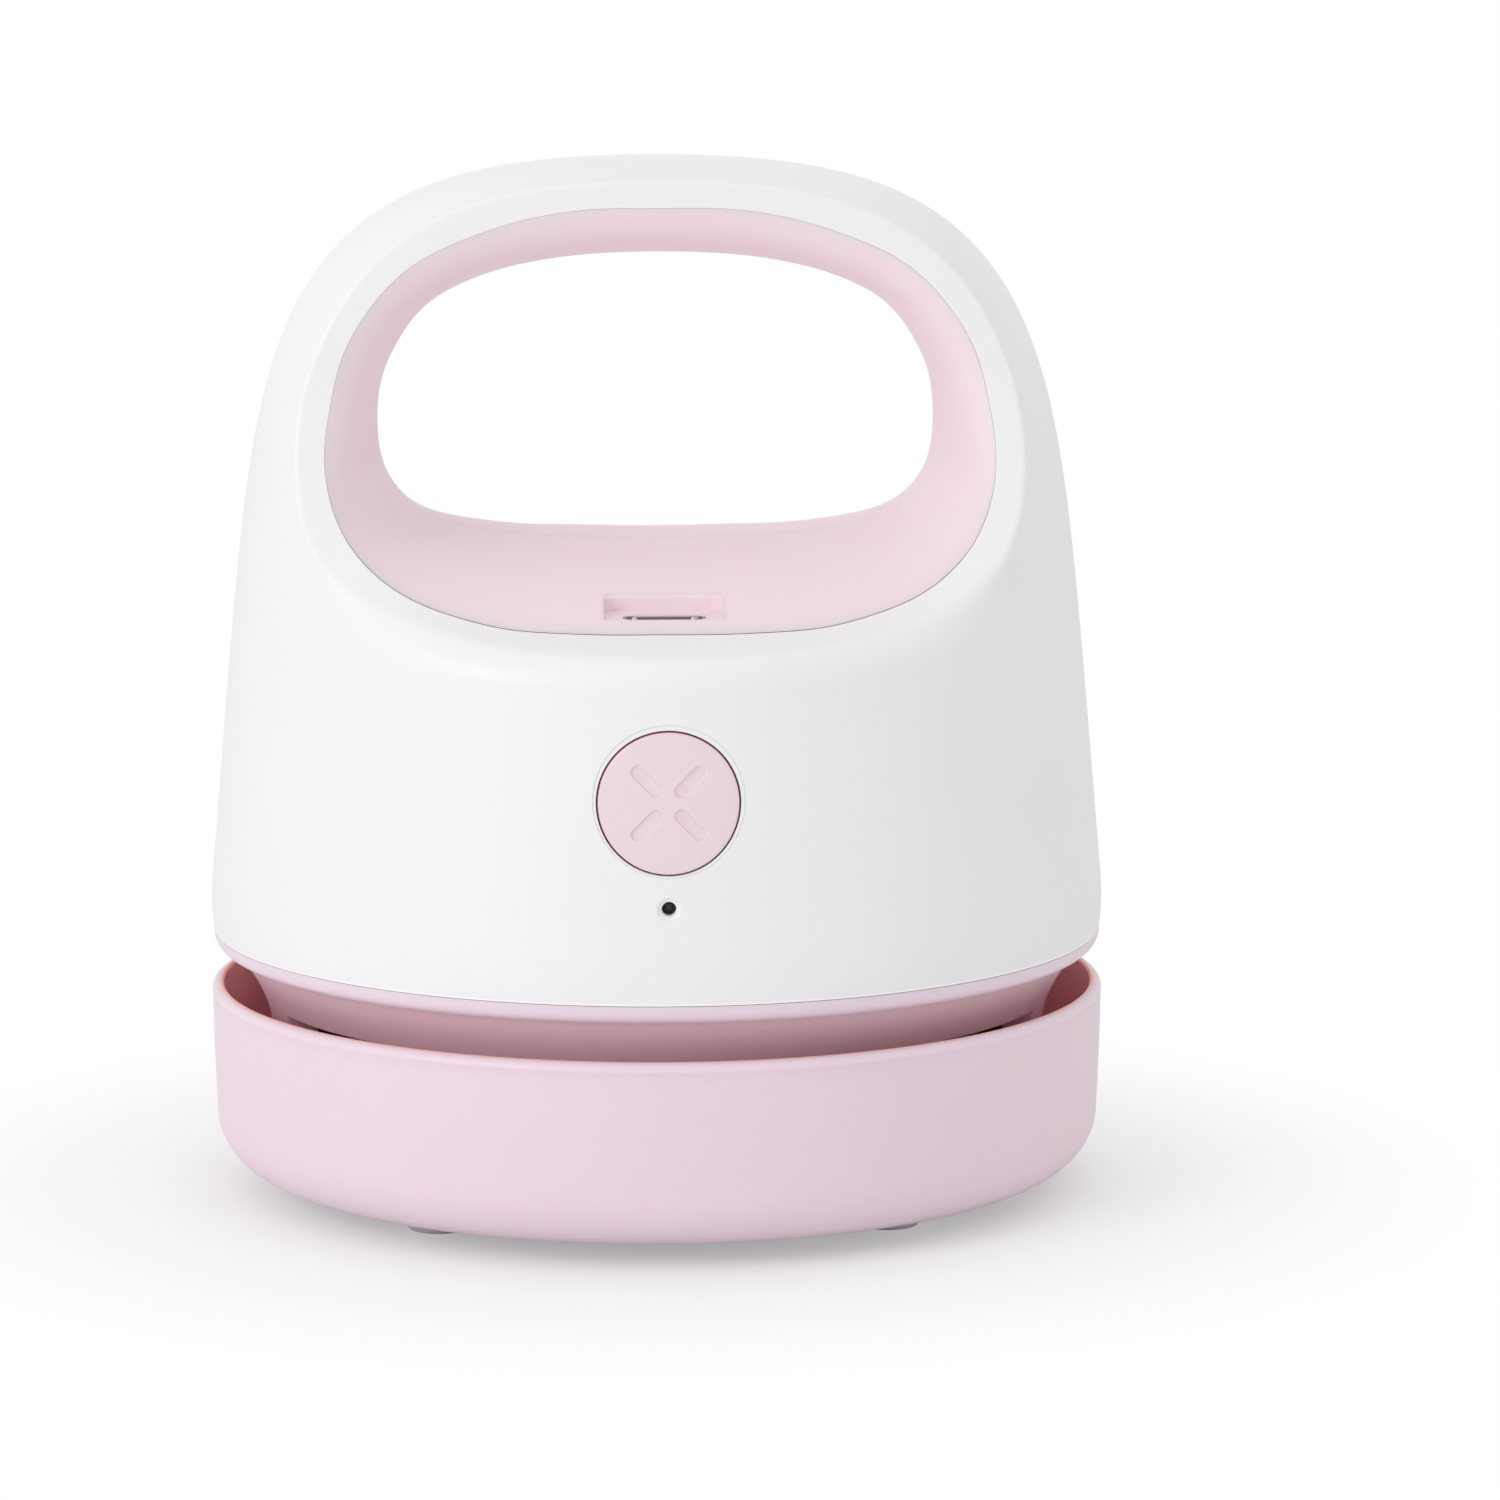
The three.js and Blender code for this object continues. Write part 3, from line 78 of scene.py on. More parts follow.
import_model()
mm = 0.001
touching = 0.0005  # points closer than this become one
overrun = 2.0  # how far a cutter stands out of the face
through = 6.0  # and how far it goes in where it makes a hole
lowered = {"seam": 0.1, "lip": 0.18, "button": 0.07}  # how far these lie below their places in the CAD


def boxOf(node):  # a node's corners in millimetres
    low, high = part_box(node)
    return low / mm, high / mm


shellLow, shellHigh = boxOf("upper_shell")
cupLow, cupHigh = boxOf("dust_cup")

body = {
    "radius": cupHigh.x,
    "top": shellHigh.z,
    "seam": shellLow.z - lowered["seam"],  # where the white shell meets the pink rim
    "lip": cupHigh.z - lowered["lip"],  # top of the dust cup
    "foot": cupLow.z,
    "hairline": 0.03,  # gap between pieces that meet
    "edgeRound": 0.1,
    "turnSteps": 288,
}

# Camera, as the photograph was taken

camera = {
    "lens": 184.2,  # on a 36 mm sensor
    "distance": 730.5,  # from the axis of the vacuum, level
    "height": 162.87,
    "azimuth": -1.5,
    "heading": 2.206,  # clockwise from +Y
    "pitch": 9.386,  # downwards
    "seen": (0.05, 20),  # metres
}


def addObject(name, data):
    holder = bpy.data.objects.new(name, data)
    bpy.context.scene.collection.objects.link(holder)
    return holder


def makeCamera():
    data = bpy.data.cameras.new("camera")
    data.lens = camera["lens"]
    data.clip_start, data.clip_end = camera["seen"]
    holder = addObject("camera", data)
    azimuth, heading, pitch = [math.radians(camera[key]) for key in ("azimuth", "heading", "pitch")]
    level = camera["distance"] * mm
    holder.location = (level * math.sin(azimuth), -level * math.cos(azimuth), camera["height"] * mm)
    level = math.cos(pitch)
    ahead = Vector((math.sin(heading) * level, math.cos(heading) * level, -math.sin(pitch)))
    holder.rotation_euler = ahead.to_track_quat("-Z", "Y").to_euler()
    bpy.context.scene.camera = holder


makeCamera()
print("camera ready")


# Mesh helpers

def markVerts(bm, name, shareOf):  # keeps a number for each vertex, for the finish to read
    layer = bm.verts.layers.float.new(name)
    for vert in bm.verts:
        vert[layer] = shareOf(vert.co)


def addMesh(name, bm):
    mesh = bpy.data.meshes.new(name)
    bm.to_mesh(mesh)
    bm.free()
    return addObject(name, mesh)


def finishPiece(name, bm, bodyName, slot, stoodFor, sharpAngle=38):
    bmesh.ops.transform(bm, matrix=Matrix.Scale(mm, 4), verts=bm.verts)
    for face in bm.faces:
        face.smooth = True
    for edge in bm.edges:
        edge.smooth = len(edge.link_faces) == 2 and edge.calc_face_angle(0) < math.radians(sharpAngle)
    piece = addMesh(name, bm)
    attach(piece, bodyName)
    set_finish(piece, slot)
    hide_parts(stoodFor)


def closeUp(bm):
    bmesh.ops.remove_doubles(bm, verts=bm.verts, dist=touching)
    bmesh.ops.dissolve_degenerate(bm, edges=bm.edges, dist=touching / 5)
    bmesh.ops.recalc_face_normals(bm, faces=bm.faces)


def shifted(bm, x, y, z, verts=None):  # moves a mesh, or some of its points
    bmesh.ops.translate(bm, verts=verts or bm.verts, vec=(x, y, z))
    return bm


def addRod(bm, sides, radius, length, tip=None):  # an upright rod round the middle, maybe with a finer tip
    made = bmesh.ops.create_cone(
        bm, cap_ends=True, segments=sides, radius1=tip or radius, radius2=radius, depth=length,
    )
    return made["verts"]


def gridSurface(columns, rows, place):  # a grid whose points go where place(u, v) says
    bm = bmesh.new()
    bmesh.ops.create_grid(bm, x_segments=columns, y_segments=rows, size=0.5)
    for vert in bm.verts:
        vert.co = place(min(1, max(0, vert.co.x + 0.5)), min(1, max(0, vert.co.y + 0.5)))
    return bm


def lineSurface(lines):  # through a closed row of lines of points
    rows = len(lines[0]) - 1

    def place(u, v):
        return lines[round(u * len(lines)) % len(lines)][round(v * rows)]

    return gridSurface(len(lines), rows, place)


def turned(profile, steps=body["turnSteps"]):  # closed line of (radius, height), about the upright axis
    bm = bmesh.new()
    verts = [bm.verts.new((radius, 0, height)) for radius, height in profile]
    edges = [bm.edges.new(pair) for pair in zip(verts, verts[1:] + verts[:1])]
    bmesh.ops.spin(
        bm, geom=verts + edges, cent=(0, 0, 0), axis=(0, 0, 1), angle=2 * math.pi,
        steps=steps, use_merge=True,
    )
    closeUp(bm)
    return bm


def quarter(steps, first=0):  # sine and cosine at even steps along a quarter turn
    turns = [k / steps * math.pi / 2 for k in range(first, steps + 1)]
    return [(math.sin(turn), math.cos(turn)) for turn in turns]


def roundCorners(corners, arcSteps=5):  # corners are (across, up, rounding)
    points = []
    count = len(corners)
    for i, (across, up, rounding) in enumerate(corners):
        here = Vector((across, up))
        if rounding <= 0:
            points.append(tuple(here))
            continue
        before = Vector(corners[i - 1][:2]) - here
        after = Vector(corners[(i + 1) % count][:2]) - here
        reach = rounding / math.tan(before.angle(after) / 2)
        reach = min(reach, 0.49 * before.length, 0.49 * after.length)
        start = here + before.normalized() * reach
        end = here + after.normalized() * reach
        for k in range(arcSteps + 1):
            t = k / arcSteps
            points.append(tuple(start * (1 - t) ** 2 + here * 2 * t * (1 - t) + end * t ** 2))
    return points


def squareRing(inner, outer, low, high, rounds, arcSteps, sides):  # with its four edges rounded
    corners = zip((inner, outer, outer, inner), (low, low, high, high), rounds)
    return turned(roundCorners(list(corners), arcSteps), sides)


def roundedBox(width, depth, low, high, corner, arcSteps=6):  # a box with rounded upright edges
    bm = bmesh.new()
    sides = ((1, -1), (1, 1), (-1, 1), (-1, -1))
    corners = roundCorners([(x * width / 2, y * depth / 2, corner) for x, y in sides], arcSteps)
    face = bm.faces.new([bm.verts.new((x, y, low)) for x, y in corners])
    raised = bmesh.ops.extrude_face_region(bm, geom=[face])["geom"]
    shifted(bm, 0, 0, high - low, [item for item in raised if isinstance(item, bmesh.types.BMVert)])
    bmesh.ops.recalc_face_normals(bm, faces=bm.faces)
    return bm


def sharpEdges(bm, angle, low=-math.inf, high=math.inf):  # bent by more than the angle, between two heights
    return [
        edge for edge in bm.edges
        if low < edge.verts[0].co.z <= high and len(edge.link_faces) == 2
        and edge.calc_face_angle(0) > math.radians(angle)
    ]


def edgesAbove(bm, height):
    return [edge for edge in bm.edges if all(vert.co.z > height for vert in edge.verts)]


def roundEdges(bm, edges, width):
    bmesh.ops.bevel(bm, geom=edges, offset=width, segments=2, profile=0.5, affect="EDGES", material=-1)


def layForward(bm, verts, forward, height):  # turns an upright shape to lie from back to front
    bmesh.ops.rotate(bm, verts=verts, cent=(0, 0, 0), matrix=Matrix.Rotation(math.pi / 2, 3, "X"))
    shifted(bm, 0, -forward, height, verts)


def cutAway(bm, cutter):  # what the cutter's mesh covers is taken out of bm
    made = [addMesh("cut", bm), addMesh("cut", cutter)]
    modifier = made[0].modifiers.new("cut", "BOOLEAN")
    modifier.operation = "DIFFERENCE"
    modifier.solver = "EXACT"
    modifier.object = made[1]
    cut = bpy.data.meshes.new_from_object(made[0].evaluated_get(bpy.context.evaluated_depsgraph_get()))
    result = bmesh.new()
    result.from_mesh(cut)
    for mesh in [cut] + [item.data for item in made]:
        bpy.data.meshes.remove(mesh)
    return result


def halving(low, high, steps, goesOn):  # narrows down the place where goesOn stops being true
    for _ in range(steps):
        middle = (low + high) / 2
        if goesOn(middle):
            low = middle
        else:
            high = middle
    return low, high


def eased(share):  # 0 to 1 with a soft start and end
    share = min(1, max(0, share))
    return share * share * (3 - 2 * share)


# Outer form of the white shell: a tapering dome with a scoop in front and behind

dome = {
    "lead": 0.29,
    "taper": 6.39,
    "tuck": 0.54,  # how far the flank draws in towards the seam
    "tuckHeight": 4.8,
    "power": 6.45,
    "roundness": 3.03,
    "wall": 2.0,
    "handleDepth": 30.8,
    "handleLean": 0.0888,
    "scoopAxisInset": 2.0,
    "scoopSillDrop": 1.2,
    "crease": 0.42,  # how softly the scoops run into the dome, at the sides
    "creaseLow": 3.0,  # and below the opening
    "creaseFrom": 57.0,  # heights between which it changes
    "creaseTo": 64.5,
    "slopeStep": 0.05,
    "heart": 46.0,  # height of the point that every wall is seen from
    "nearest": 5.0,  # from the heart to the walls, at least and at most
    "farthest": 80.0,
    "searchSteps": 26,
}


def domeRadius(height):
    span = body["top"] - body["seam"]
    share = (height - body["seam"]) / span
    tuck = max(0, 1 - max(0, height - body["seam"]) / dome["tuckHeight"])
    flank = body["radius"] + dome["lead"] - dome["taper"] * share - dome["tuck"] * tuck ** 2
    return flank * max(0, 1 - max(0, share) ** dome["power"]) ** (1 / dome["roundness"])


opening = {
    "buttonHeight": 44.1,
    "sillRise": 14.27,  # from the button up to the sill
    "topMargin": 3.23,
    "sideMargin": 11.6,
    "throatSide": 4.8,
    "throatTop": 5.2,
    "throatBottom": 4.52,
    "stations": 264,  # points round the opening
    "curveSteps": 32,
    "fairing": 300,  # rounds that even out the curve
    "fairingShares": (0.5, -0.51),  # in and out, so that it keeps its size
    "linerGap": 0.02,
}
# Half outlines from top to bottom, x as a share of the half width and z of the height
rimShares = (
    (0, 1), (0.242, 0.995), (0.487, 0.952), (0.758, 0.845), (0.932, 0.659), (0.99, 0.469),
    (1, 0.373), (0.946, 0.211), (0.796, 0.091), (0.525, 0.019), (0.26, 0.002), (0, 0),
)
throatShares = (
    (0, 1), (0.21, 0.994), (0.421, 0.971), (0.635, 0.918), (0.831, 0.812), (0.97, 0.602),
    (1, 0.442), (0.972, 0.238), (0.845, 0.094), (0.53, 0.019), (0.263, 0.006), (0, 0),
)
sill = opening["buttonHeight"] + opening["sillRise"]
openingTall = body["top"] - opening["topMargin"] - sill
openingWide = 2 * (body["radius"] - opening["sideMargin"])
throatFloor = sill + opening["throatBottom"]
throatTall = openingTall - opening["throatTop"] - opening["throatBottom"]
throatWide = openingWide - 2 * opening["throatSide"]

scoopDepth = body["radius"] - dome["scoopAxisInset"]
scoopRadius = scoopDepth - dome["handleDepth"] / 2
scoopHeight = sill - dome["scoopSillDrop"] + scoopRadius


def faceDepth(height):  # half depth of the handle between its two scooped faces
    if height >= scoopHeight:
        return dome["handleDepth"] / 2 - dome["handleLean"] * (height - scoopHeight)
    return scoopDepth - math.sqrt(max(0, scoopRadius ** 2 - (scoopHeight - height) ** 2))


def toDomeAndFace(point):  # distances from the dome and from the scooped face, below zero inside
    step = dome["slopeStep"]
    slope = (domeRadius(point.z + step) - domeRadius(point.z - step)) / (2 * step)
    toDome = (math.hypot(point.x, point.y) - domeRadius(point.z)) / math.hypot(1, slope)
    if point.z >= scoopHeight:
        return toDome, abs(point.y) - faceDepth(point.z)
    return toDome, scoopRadius - math.hypot(abs(point.y) - scoopDepth, point.z - scoopHeight)


def shellDistance(point):  # below zero inside the shell's outer form
    toDome, toFace = toDomeAndFace(point)
    rise = eased((point.z - dome["creaseFrom"]) / (dome["creaseTo"] - dome["creaseFrom"]))
    soft = dome["creaseLow"] + (dome["crease"] - dome["creaseLow"]) * rise
    near = max(0, soft - abs(toDome - toFace)) / soft
    return max(toDome, toFace) + near ** 2 * soft / 4


def onShell(towards):  # where the ray from the heart through a point meets the outer form
    heart = Vector((0, 0, dome["heart"]))
    ray = (towards - heart).normalized()

    def isInside(reach):
        return shellDistance(heart + ray * reach) < 0

    low, high = halving(dome["nearest"], dome["farthest"], dome["searchSteps"], isInside)
    return heart + ray * (low + high) / 2


def evenly(points, count):  # count points at equal steps round a closed line of points
    ends = points[1:] + points[:1]
    lengths = [0]
    for a, b in zip(points, ends):
        lengths.append(lengths[-1] + (b - a).length)
    found = []
    place = 0
    for i in range(count):
        wanted = lengths[-1] * i / count
        while place < len(lengths) - 2 and lengths[place + 1] < wanted:
            place += 1
        part = (wanted - lengths[place]) / (lengths[place + 1] - lengths[place])
        found.append(points[place].lerp(ends[place], part))
    return found


def smoothLoop(shares, width, tall, bottom):  # closed smooth line through both halves of an outline
    right = [Vector((x * width / 2, bottom + z * tall)) for x, z in shares]
    corners = right + [Vector((-point.x, point.y)) for point in reversed(right[1:-1])]
    fine = []
    for i in range(len(corners)):
        p = [corners[(i + k - 1) % len(corners)] for k in range(4)]
        knots = [0]
        for a, b in zip(p, p[1:]):
            knots.append(knots[-1] + math.sqrt((b - a).length))
        for k in range(opening["curveSteps"]):
            t = knots[1] + (knots[2] - knots[1]) * k / opening["curveSteps"]
            line = p
            for span in (1, 2):
                line = [
                    line[j].lerp(line[j + 1], (t - knots[j]) / (knots[j + span] - knots[j]))
                    for j in range(len(line) - 1)
                ]
            fine.append(line[0].lerp(line[1], (t - knots[1]) / (knots[2] - knots[1])))
    loop = evenly(fine, opening["stations"])
    for share in opening["fairingShares"] * opening["fairing"]:
        loop = [
            here.lerp((loop[i - 1] + loop[(i + 1) % len(loop)]) / 2, share)
            for i, here in enumerate(loop)
        ]
    return loop


rimLoop = smoothLoop(rimShares, openingWide, openingTall, sill)
throatLoop = smoothLoop(throatShares, throatWide, throatTall, throatFloor)


def outwardOf(loop, i):  # away from the opening, square to its outline
    along = loop[(i + 1) % len(loop)] - loop[i - 1]
    return Vector((-along.y, along.x)).normalized()


outwards = [outwardOf(rimLoop, i) for i in range(len(rimLoop))]


def rimOnShell(i, growth=0):  # a point of the opening's rim, on the scooped face
    rim = rimLoop[i] + outwards[i] * growth
    return onShell(Vector((rim.x, -faceDepth(rim.y), rim.y)))


# Holes and grooves sunk into the front of the dome

button = {
    "radius": 6.5,
    "height": opening["buttonHeight"] - lowered["button"],
    "hole": (  # radius and depth of the fine groove round the button, the seat and the hole
        (7.04, -overrun), (7.04, 0.0), (7.02, 0.03), (7.0, 0.13), (6.92, 0.13), (6.9, 0.06), (6.88, 0.03),
        (6.69, 0.03), (6.65, 0.06), (6.63, 0.12), (6.63, through),
    ),
    "driftFrom": 6.69,  # between these radii the groove's middle moves right of and above the button's
    "driftTo": 6.88,
    "drift": (0.06, 0.14),
    "edgeRound": 0.22,
    "faceRings": 20,
    "edgeRings": 6,
    "sides": 144,
    "skirt": ((0, 1.0), (0.104, 1.05), (0.104, 4.2)),  # wider than the face by, and depth
    "skirtShade": 6.47,  # beyond this radius a deeper, warm painted shade replaces the colour
    "grooveInner": 1.62,
    "grooveOuter": 4.02,
    "grooveHalf": 0.61,
    "grooveCount": 4,
    "grooveSides": 48,
    "groove": (  # growth of the outline, and depth
        (0.07, -overrun), (0.07, -0.005), (0.03, 0.015), (0.0, 0.06), (-0.02, 0.14), (-0.06, 0.2),
        (-0.12, 0.22),
    ),
    "rods": ((8.0, 37.7, 36.6), (2.0, 36.7, -boxOf("power_button")[1].y)),  # radius, front and back
    "rodSides": 64,
}
lamp = {
    "height": 34.35,
    "hole": (  # radius and depth of the sink and the pin hole
        (1.13, -overrun), (1.13, 0.0), (1.11, 0.02), (1.09, 0.14), (1.03, 0.16), (0.7, 0.38), (0.67, 0.43),
        (0.67, through),
    ),
    "sides": 48,
    "pipeRadius": 0.64,
    "pipeFront": 41.35,
    "pipeBack": 32.0,
    "pipeDome": 0.3,
    "pipeSides": 32,
}


def onDome(x, z, depth=0.0):  # a point on the front of the dome, or below its face
    return Vector((x, -math.sqrt(domeRadius(z) ** 2 - x ** 2) + depth, z))


def sinkTool(outlineAt, rings, sides):  # rings are (growth of the outline, depth below the face)
    def place(u, v):
        growth, depth = rings[round(v * (len(rings) - 1))]
        return onDome(*outlineAt(u, growth), depth)

    return closeEnds(gridSurface(sides, len(rings) - 1, place))


def closeEnds(bm):  # seals a tube and turns its faces outwards
    bmesh.ops.remove_doubles(bm, verts=bm.verts, dist=touching)
    bmesh.ops.holes_fill(bm, edges=[edge for edge in bm.edges if len(edge.link_faces) == 1], sides=0)
    bmesh.ops.recalc_face_normals(bm, faces=bm.faces)
    return bm


def roundSink(height, drift=(0, 0), inner=0, outer=1):  # drifts aside from the inner to the outer radius
    def outlineAt(turn, radius):
        angle = 2 * math.pi * turn
        share = min(1, max(0, (radius - inner) / (outer - inner)))
        x = radius * math.cos(angle) + share * drift[0]
        return x, height + radius * math.sin(angle) + share * drift[1]

    return outlineAt


def capsuleSink(direction):  # one groove of the button
    middle = (button["grooveInner"] + button["grooveOuter"]) / 2
    reach = (button["grooveOuter"] - button["grooveInner"]) / 2
    cos, sin = math.cos(direction), math.sin(direction)

    def outlineAt(turn, growth):
        angle = 2 * math.pi * (turn + 0.25)
        radius = button["grooveHalf"] + growth
        along = middle + (reach if math.cos(angle) > 0 else -reach) + radius * math.cos(angle)
        across = radius * math.sin(angle)
        return along * cos - across * sin, button["height"] + along * sin + across * cos

    return outlineAt


# White shell

shellForm = {
    "faceRows": 16,  # from the opening to the crease
    "domeRows": 54,  # and on to the border
    "outlineSteps": 160,
    "topCrowding": 2.4,  # points stand closer towards the top
    "rowCrowding": 1.5,  # and rows towards the opening and the crease
    "creaseSteps": 16,
    "sharp": 60,  # edges bent by more degrees are rounded
    "openingRound": 0.05,
    "seamZone": 3.0,  # edges this far below the sill are rounded as the seam is
}


def shellBorder():  # front half of the dome's outline and of the seam, on the middle plane
    steps = shellForm["outlineSteps"]
    side = [Vector((0, 0, body["top"]))]
    for k in range(1, steps + 1):
        share = (1 - k / steps) ** shellForm["topCrowding"]
        height = body["top"] - (body["top"] - body["seam"]) * (1 - share)
        side.append(Vector((domeRadius(height), 0, height)))
    front = []
    radius = domeRadius(body["seam"])
    for k in range(1, steps):
        angle = math.pi * k / steps
        front.append(Vector((radius * math.cos(angle), -radius * math.sin(angle), body["seam"])))
    mirrored = [Vector((-point.x, 0, point.z)) for point in reversed(side[1:])]
    border = evenly(side + front + mirrored, opening["stations"])
    return [onShell(point) if point.z > body["seam"] + 20 * touching else point for point in border]


def makeShell():
    faceRows, domeRows = shellForm["faceRows"], shellForm["domeRows"]
    crowding = shellForm["rowCrowding"]
    lines = []
    for i, b in enumerate(shellBorder()):
        a = rimOnShell(i, opening["linerGap"])

        def isOnFace(share):  # short of where the line crosses from the scoop to the dome
            toDome, toFace = toDomeAndFace(onShell(a.lerp(b, share)))
            return toFace > toDome

        crease = halving(0.0, 1.0, shellForm["creaseSteps"], isOnFace)[0]
        shares = [crease * (1 - (1 - k / faceRows) ** crowding) for k in range(1, faceRows + 1)]
        shares += [crease + (1 - crease) * (k / domeRows) ** crowding for k in range(1, domeRows)]
        lines.append([a] + [onShell(a.lerp(b, share)) for share in shares] + [b])
    bm = lineSurface(lines)
    bmesh.ops.remove_doubles(bm, verts=bm.verts, dist=2 * touching)
    for vert in bm.verts:
        if vert.co.y > -2 * touching:
            vert.co.y = 0
    everything = bm.verts[:] + bm.edges[:] + bm.faces[:]
    bmesh.ops.mirror(bm, geom=everything, axis="Y", merge_dist=4 * touching)
    closeUp(bm)
    bmesh.ops.solidify(bm, geom=bm.faces[:], thickness=dome["wall"])
    zone = sill - shellForm["seamZone"]
    roundEdges(bm, sharpEdges(bm, shellForm["sharp"], 0, zone), body["edgeRound"])
    roundEdges(bm, sharpEdges(bm, shellForm["sharp"], zone, body["top"]), shellForm["openingRound"])
    drifting = roundSink(button["height"], button["drift"], button["driftFrom"], button["driftTo"])
    bm = cutAway(bm, sinkTool(drifting, button["hole"], button["sides"]))
    bm = cutAway(bm, sinkTool(roundSink(lamp["height"]), lamp["hole"], lamp["sides"]))
    finishPiece("shell", bm, "housing", "white_plastic", "upper_shell")


makeShell()
print("white shell")


def makeLightPipe():  # clear rod from the charging lamp to its pin hole, with a domed end
    radius, rise = lamp["pipeRadius"], lamp["pipeDome"]
    length = lamp["pipeFront"] - lamp["pipeBack"]
    profile = [(0, 0), (radius, 0), (radius, length - rise)]
    profile += [(radius * across, length - rise + rise * up) for up, across in quarter(5, 1)]
    bm = turned(profile, lamp["pipeSides"])
    layForward(bm, bm.verts, lamp["pipeBack"], lamp["height"])
    finishPiece("lightPipe", bm, "housing", "clear_plastic", "light_pipe")


makeLightPipe()


# Pink liner of the handle opening, in a front and a back half

liner = {
    "seam": 0.1,
    "wall": 1.6,
    "flange": 0.9,
    "flangeThickness": 1.4,
    "flangeGap": 0.1,
    "crownRows": 30,
    "crowding": 1.5,  # rows stand closer towards the rim
    "shoulder": 0.55,  # how much of the crown turns outwards close to the rim, above the sill
    "shoulderFrom": 0.12,  # shares of the throat's height between which the shoulder grows
    "shoulderTo": 0.55,
    "notchBacking": 2.2,  # extra wall behind the notch
    "hiddenRows": 6,
    "hiddenShare": 0.8,  # the wall behind starts this far out
    "edgeRound": 0.04,
    "sharp": 40,
}
notch = {
    "width": 11.2,
    "back": 23.6,  # depth of its back wall from the middle
    "floorRise": 0.83,  # above the sill
    "corner": 1.4,
    "flare": 0.22,  # bevel of its upper edge
}
socket = {
    "depth": 28.2,  # from the middle of the vacuum
    "width": 7.6,
    "thickness": 2.6,
    "slot": (7.72, 2.72),  # width and thickness of its slot in the liner
    "slotCorner": 1.4,
    "tall": 5.4,
    "sheet": 0.28,
    "corners": (1.28, 1.0),  # outside and inside
    "arcSteps": 10,
    "sunk": 0.03,  # below the floor of the notch
    "mouthRound": 0.08,
    "fingerAcross": 2.75,  # spring fingers pressed into the long walls
    "fingerRadius": 0.34,
    "fingerScale": (1, 0.5, 1.3),
    "fingerDrop": 0.46,
    "tongue": (5.0, 0.7),
    "tongueCorner": 0.2,
    "tongueDrop": 0.8,
    "tongueGap": 0.1,
}
notchFloor = sill + notch["floorRise"]


def crownPoint(i, share):  # from the throat on the middle plane out to the rim
    height = (throatLoop[i].y - throatFloor) / throatTall
    rise = eased((height - liner["shoulderFrom"]) / (liner["shoulderTo"] - liner["shoulderFrom"]))
    shoulder = liner["shoulder"] * rise
    return throatLoop[i].lerp(rimLoop[i], (1 - shoulder) * share ** 2 + shoulder * share ** 10)


def linerLine(i):  # from the throat out to the rim, round the flange and back behind the wall
    rim, outward, depth = rimLoop[i], outwards[i], -rimOnShell(i).y
    half = liner["seam"] / 2
    rows, hiddenRows = liner["crownRows"], liner["hiddenRows"]
    line = []
    for k in range(rows + 1):
        share = 1 - (1 - k / rows) ** liner["crowding"]
        line.append((crownPoint(i, share), half + share * (depth - half)))
    front = depth - dome["wall"] - liner["flangeGap"]
    edge = rim + outward * liner["flange"]
    line += [(rim, front), (edge, front), (edge, front - liner["flangeThickness"])]
    isBehindNotch = rim.y < throatFloor and abs(rim.x) < notch["width"]
    wall = liner["wall"] + (liner["notchBacking"] if isBehindNotch else 0)
    for k in range(hiddenRows + 1):
        share = liner["hiddenShare"] * (1 - k / hiddenRows)
        line.append((crownPoint(i, share) + outward * wall, half + share * (depth - half)))
    return line + line[:1]


def makeLinerHalf(side):
    lines = [linerLine(i) for i in range(opening["stations"])]
    bm = lineSurface([[Vector((at.x, side * y, at.y)) for at, y in line] for line in lines])
    closeUp(bm)
    roundEdges(bm, sharpEdges(bm, liner["sharp"]), liner["edgeRound"])
    # every point of the liner is marked for a lighter pink: painted light falling from behind through the
    # opening
    markVerts(bm, "linerLight", lambda co: 1.0)
    return bm


def notchCutter(low, high, spread=0):  # its top is wider by the spread
    reach = 2 * (scoopDepth - notch["back"])
    cutter = roundedBox(notch["width"], reach, low, high, notch["corner"])
    for vert in cutter.verts:
        if vert.co.z > (low + high) / 2:
            vert.co.x *= 1 + spread / notch["width"]
            vert.co.y *= 1 + spread / reach
    return shifted(cutter, 0, -scoopDepth, 0)


def makeLiner():
    bm = cutAway(makeLinerHalf(-1), notchCutter(notchFloor, body["top"]))
    edge = crownPoint(opening["stations"] // 2, notch["back"] / faceDepth(sill)).y
    flare = notch["flare"]
    bm = cutAway(bm, notchCutter(edge - flare, edge + flare, 4 * flare))
    low, high = notchFloor - through, notchFloor + through
    slot = roundedBox(*socket["slot"], low, high, socket["slotCorner"], socket["arcSteps"])
    bm = cutAway(bm, shifted(slot, 0, -socket["depth"], 0))
    finishPiece("linerFront", bm, "housing", "pink_plastic", "liner_front", 30)
    finishPiece("linerBack", makeLinerHalf(1), "housing", "pink_plastic", "liner_back", 30)


makeLiner()
print("handle liner")


# Charging socket: a folded steel sleeve with its tongue

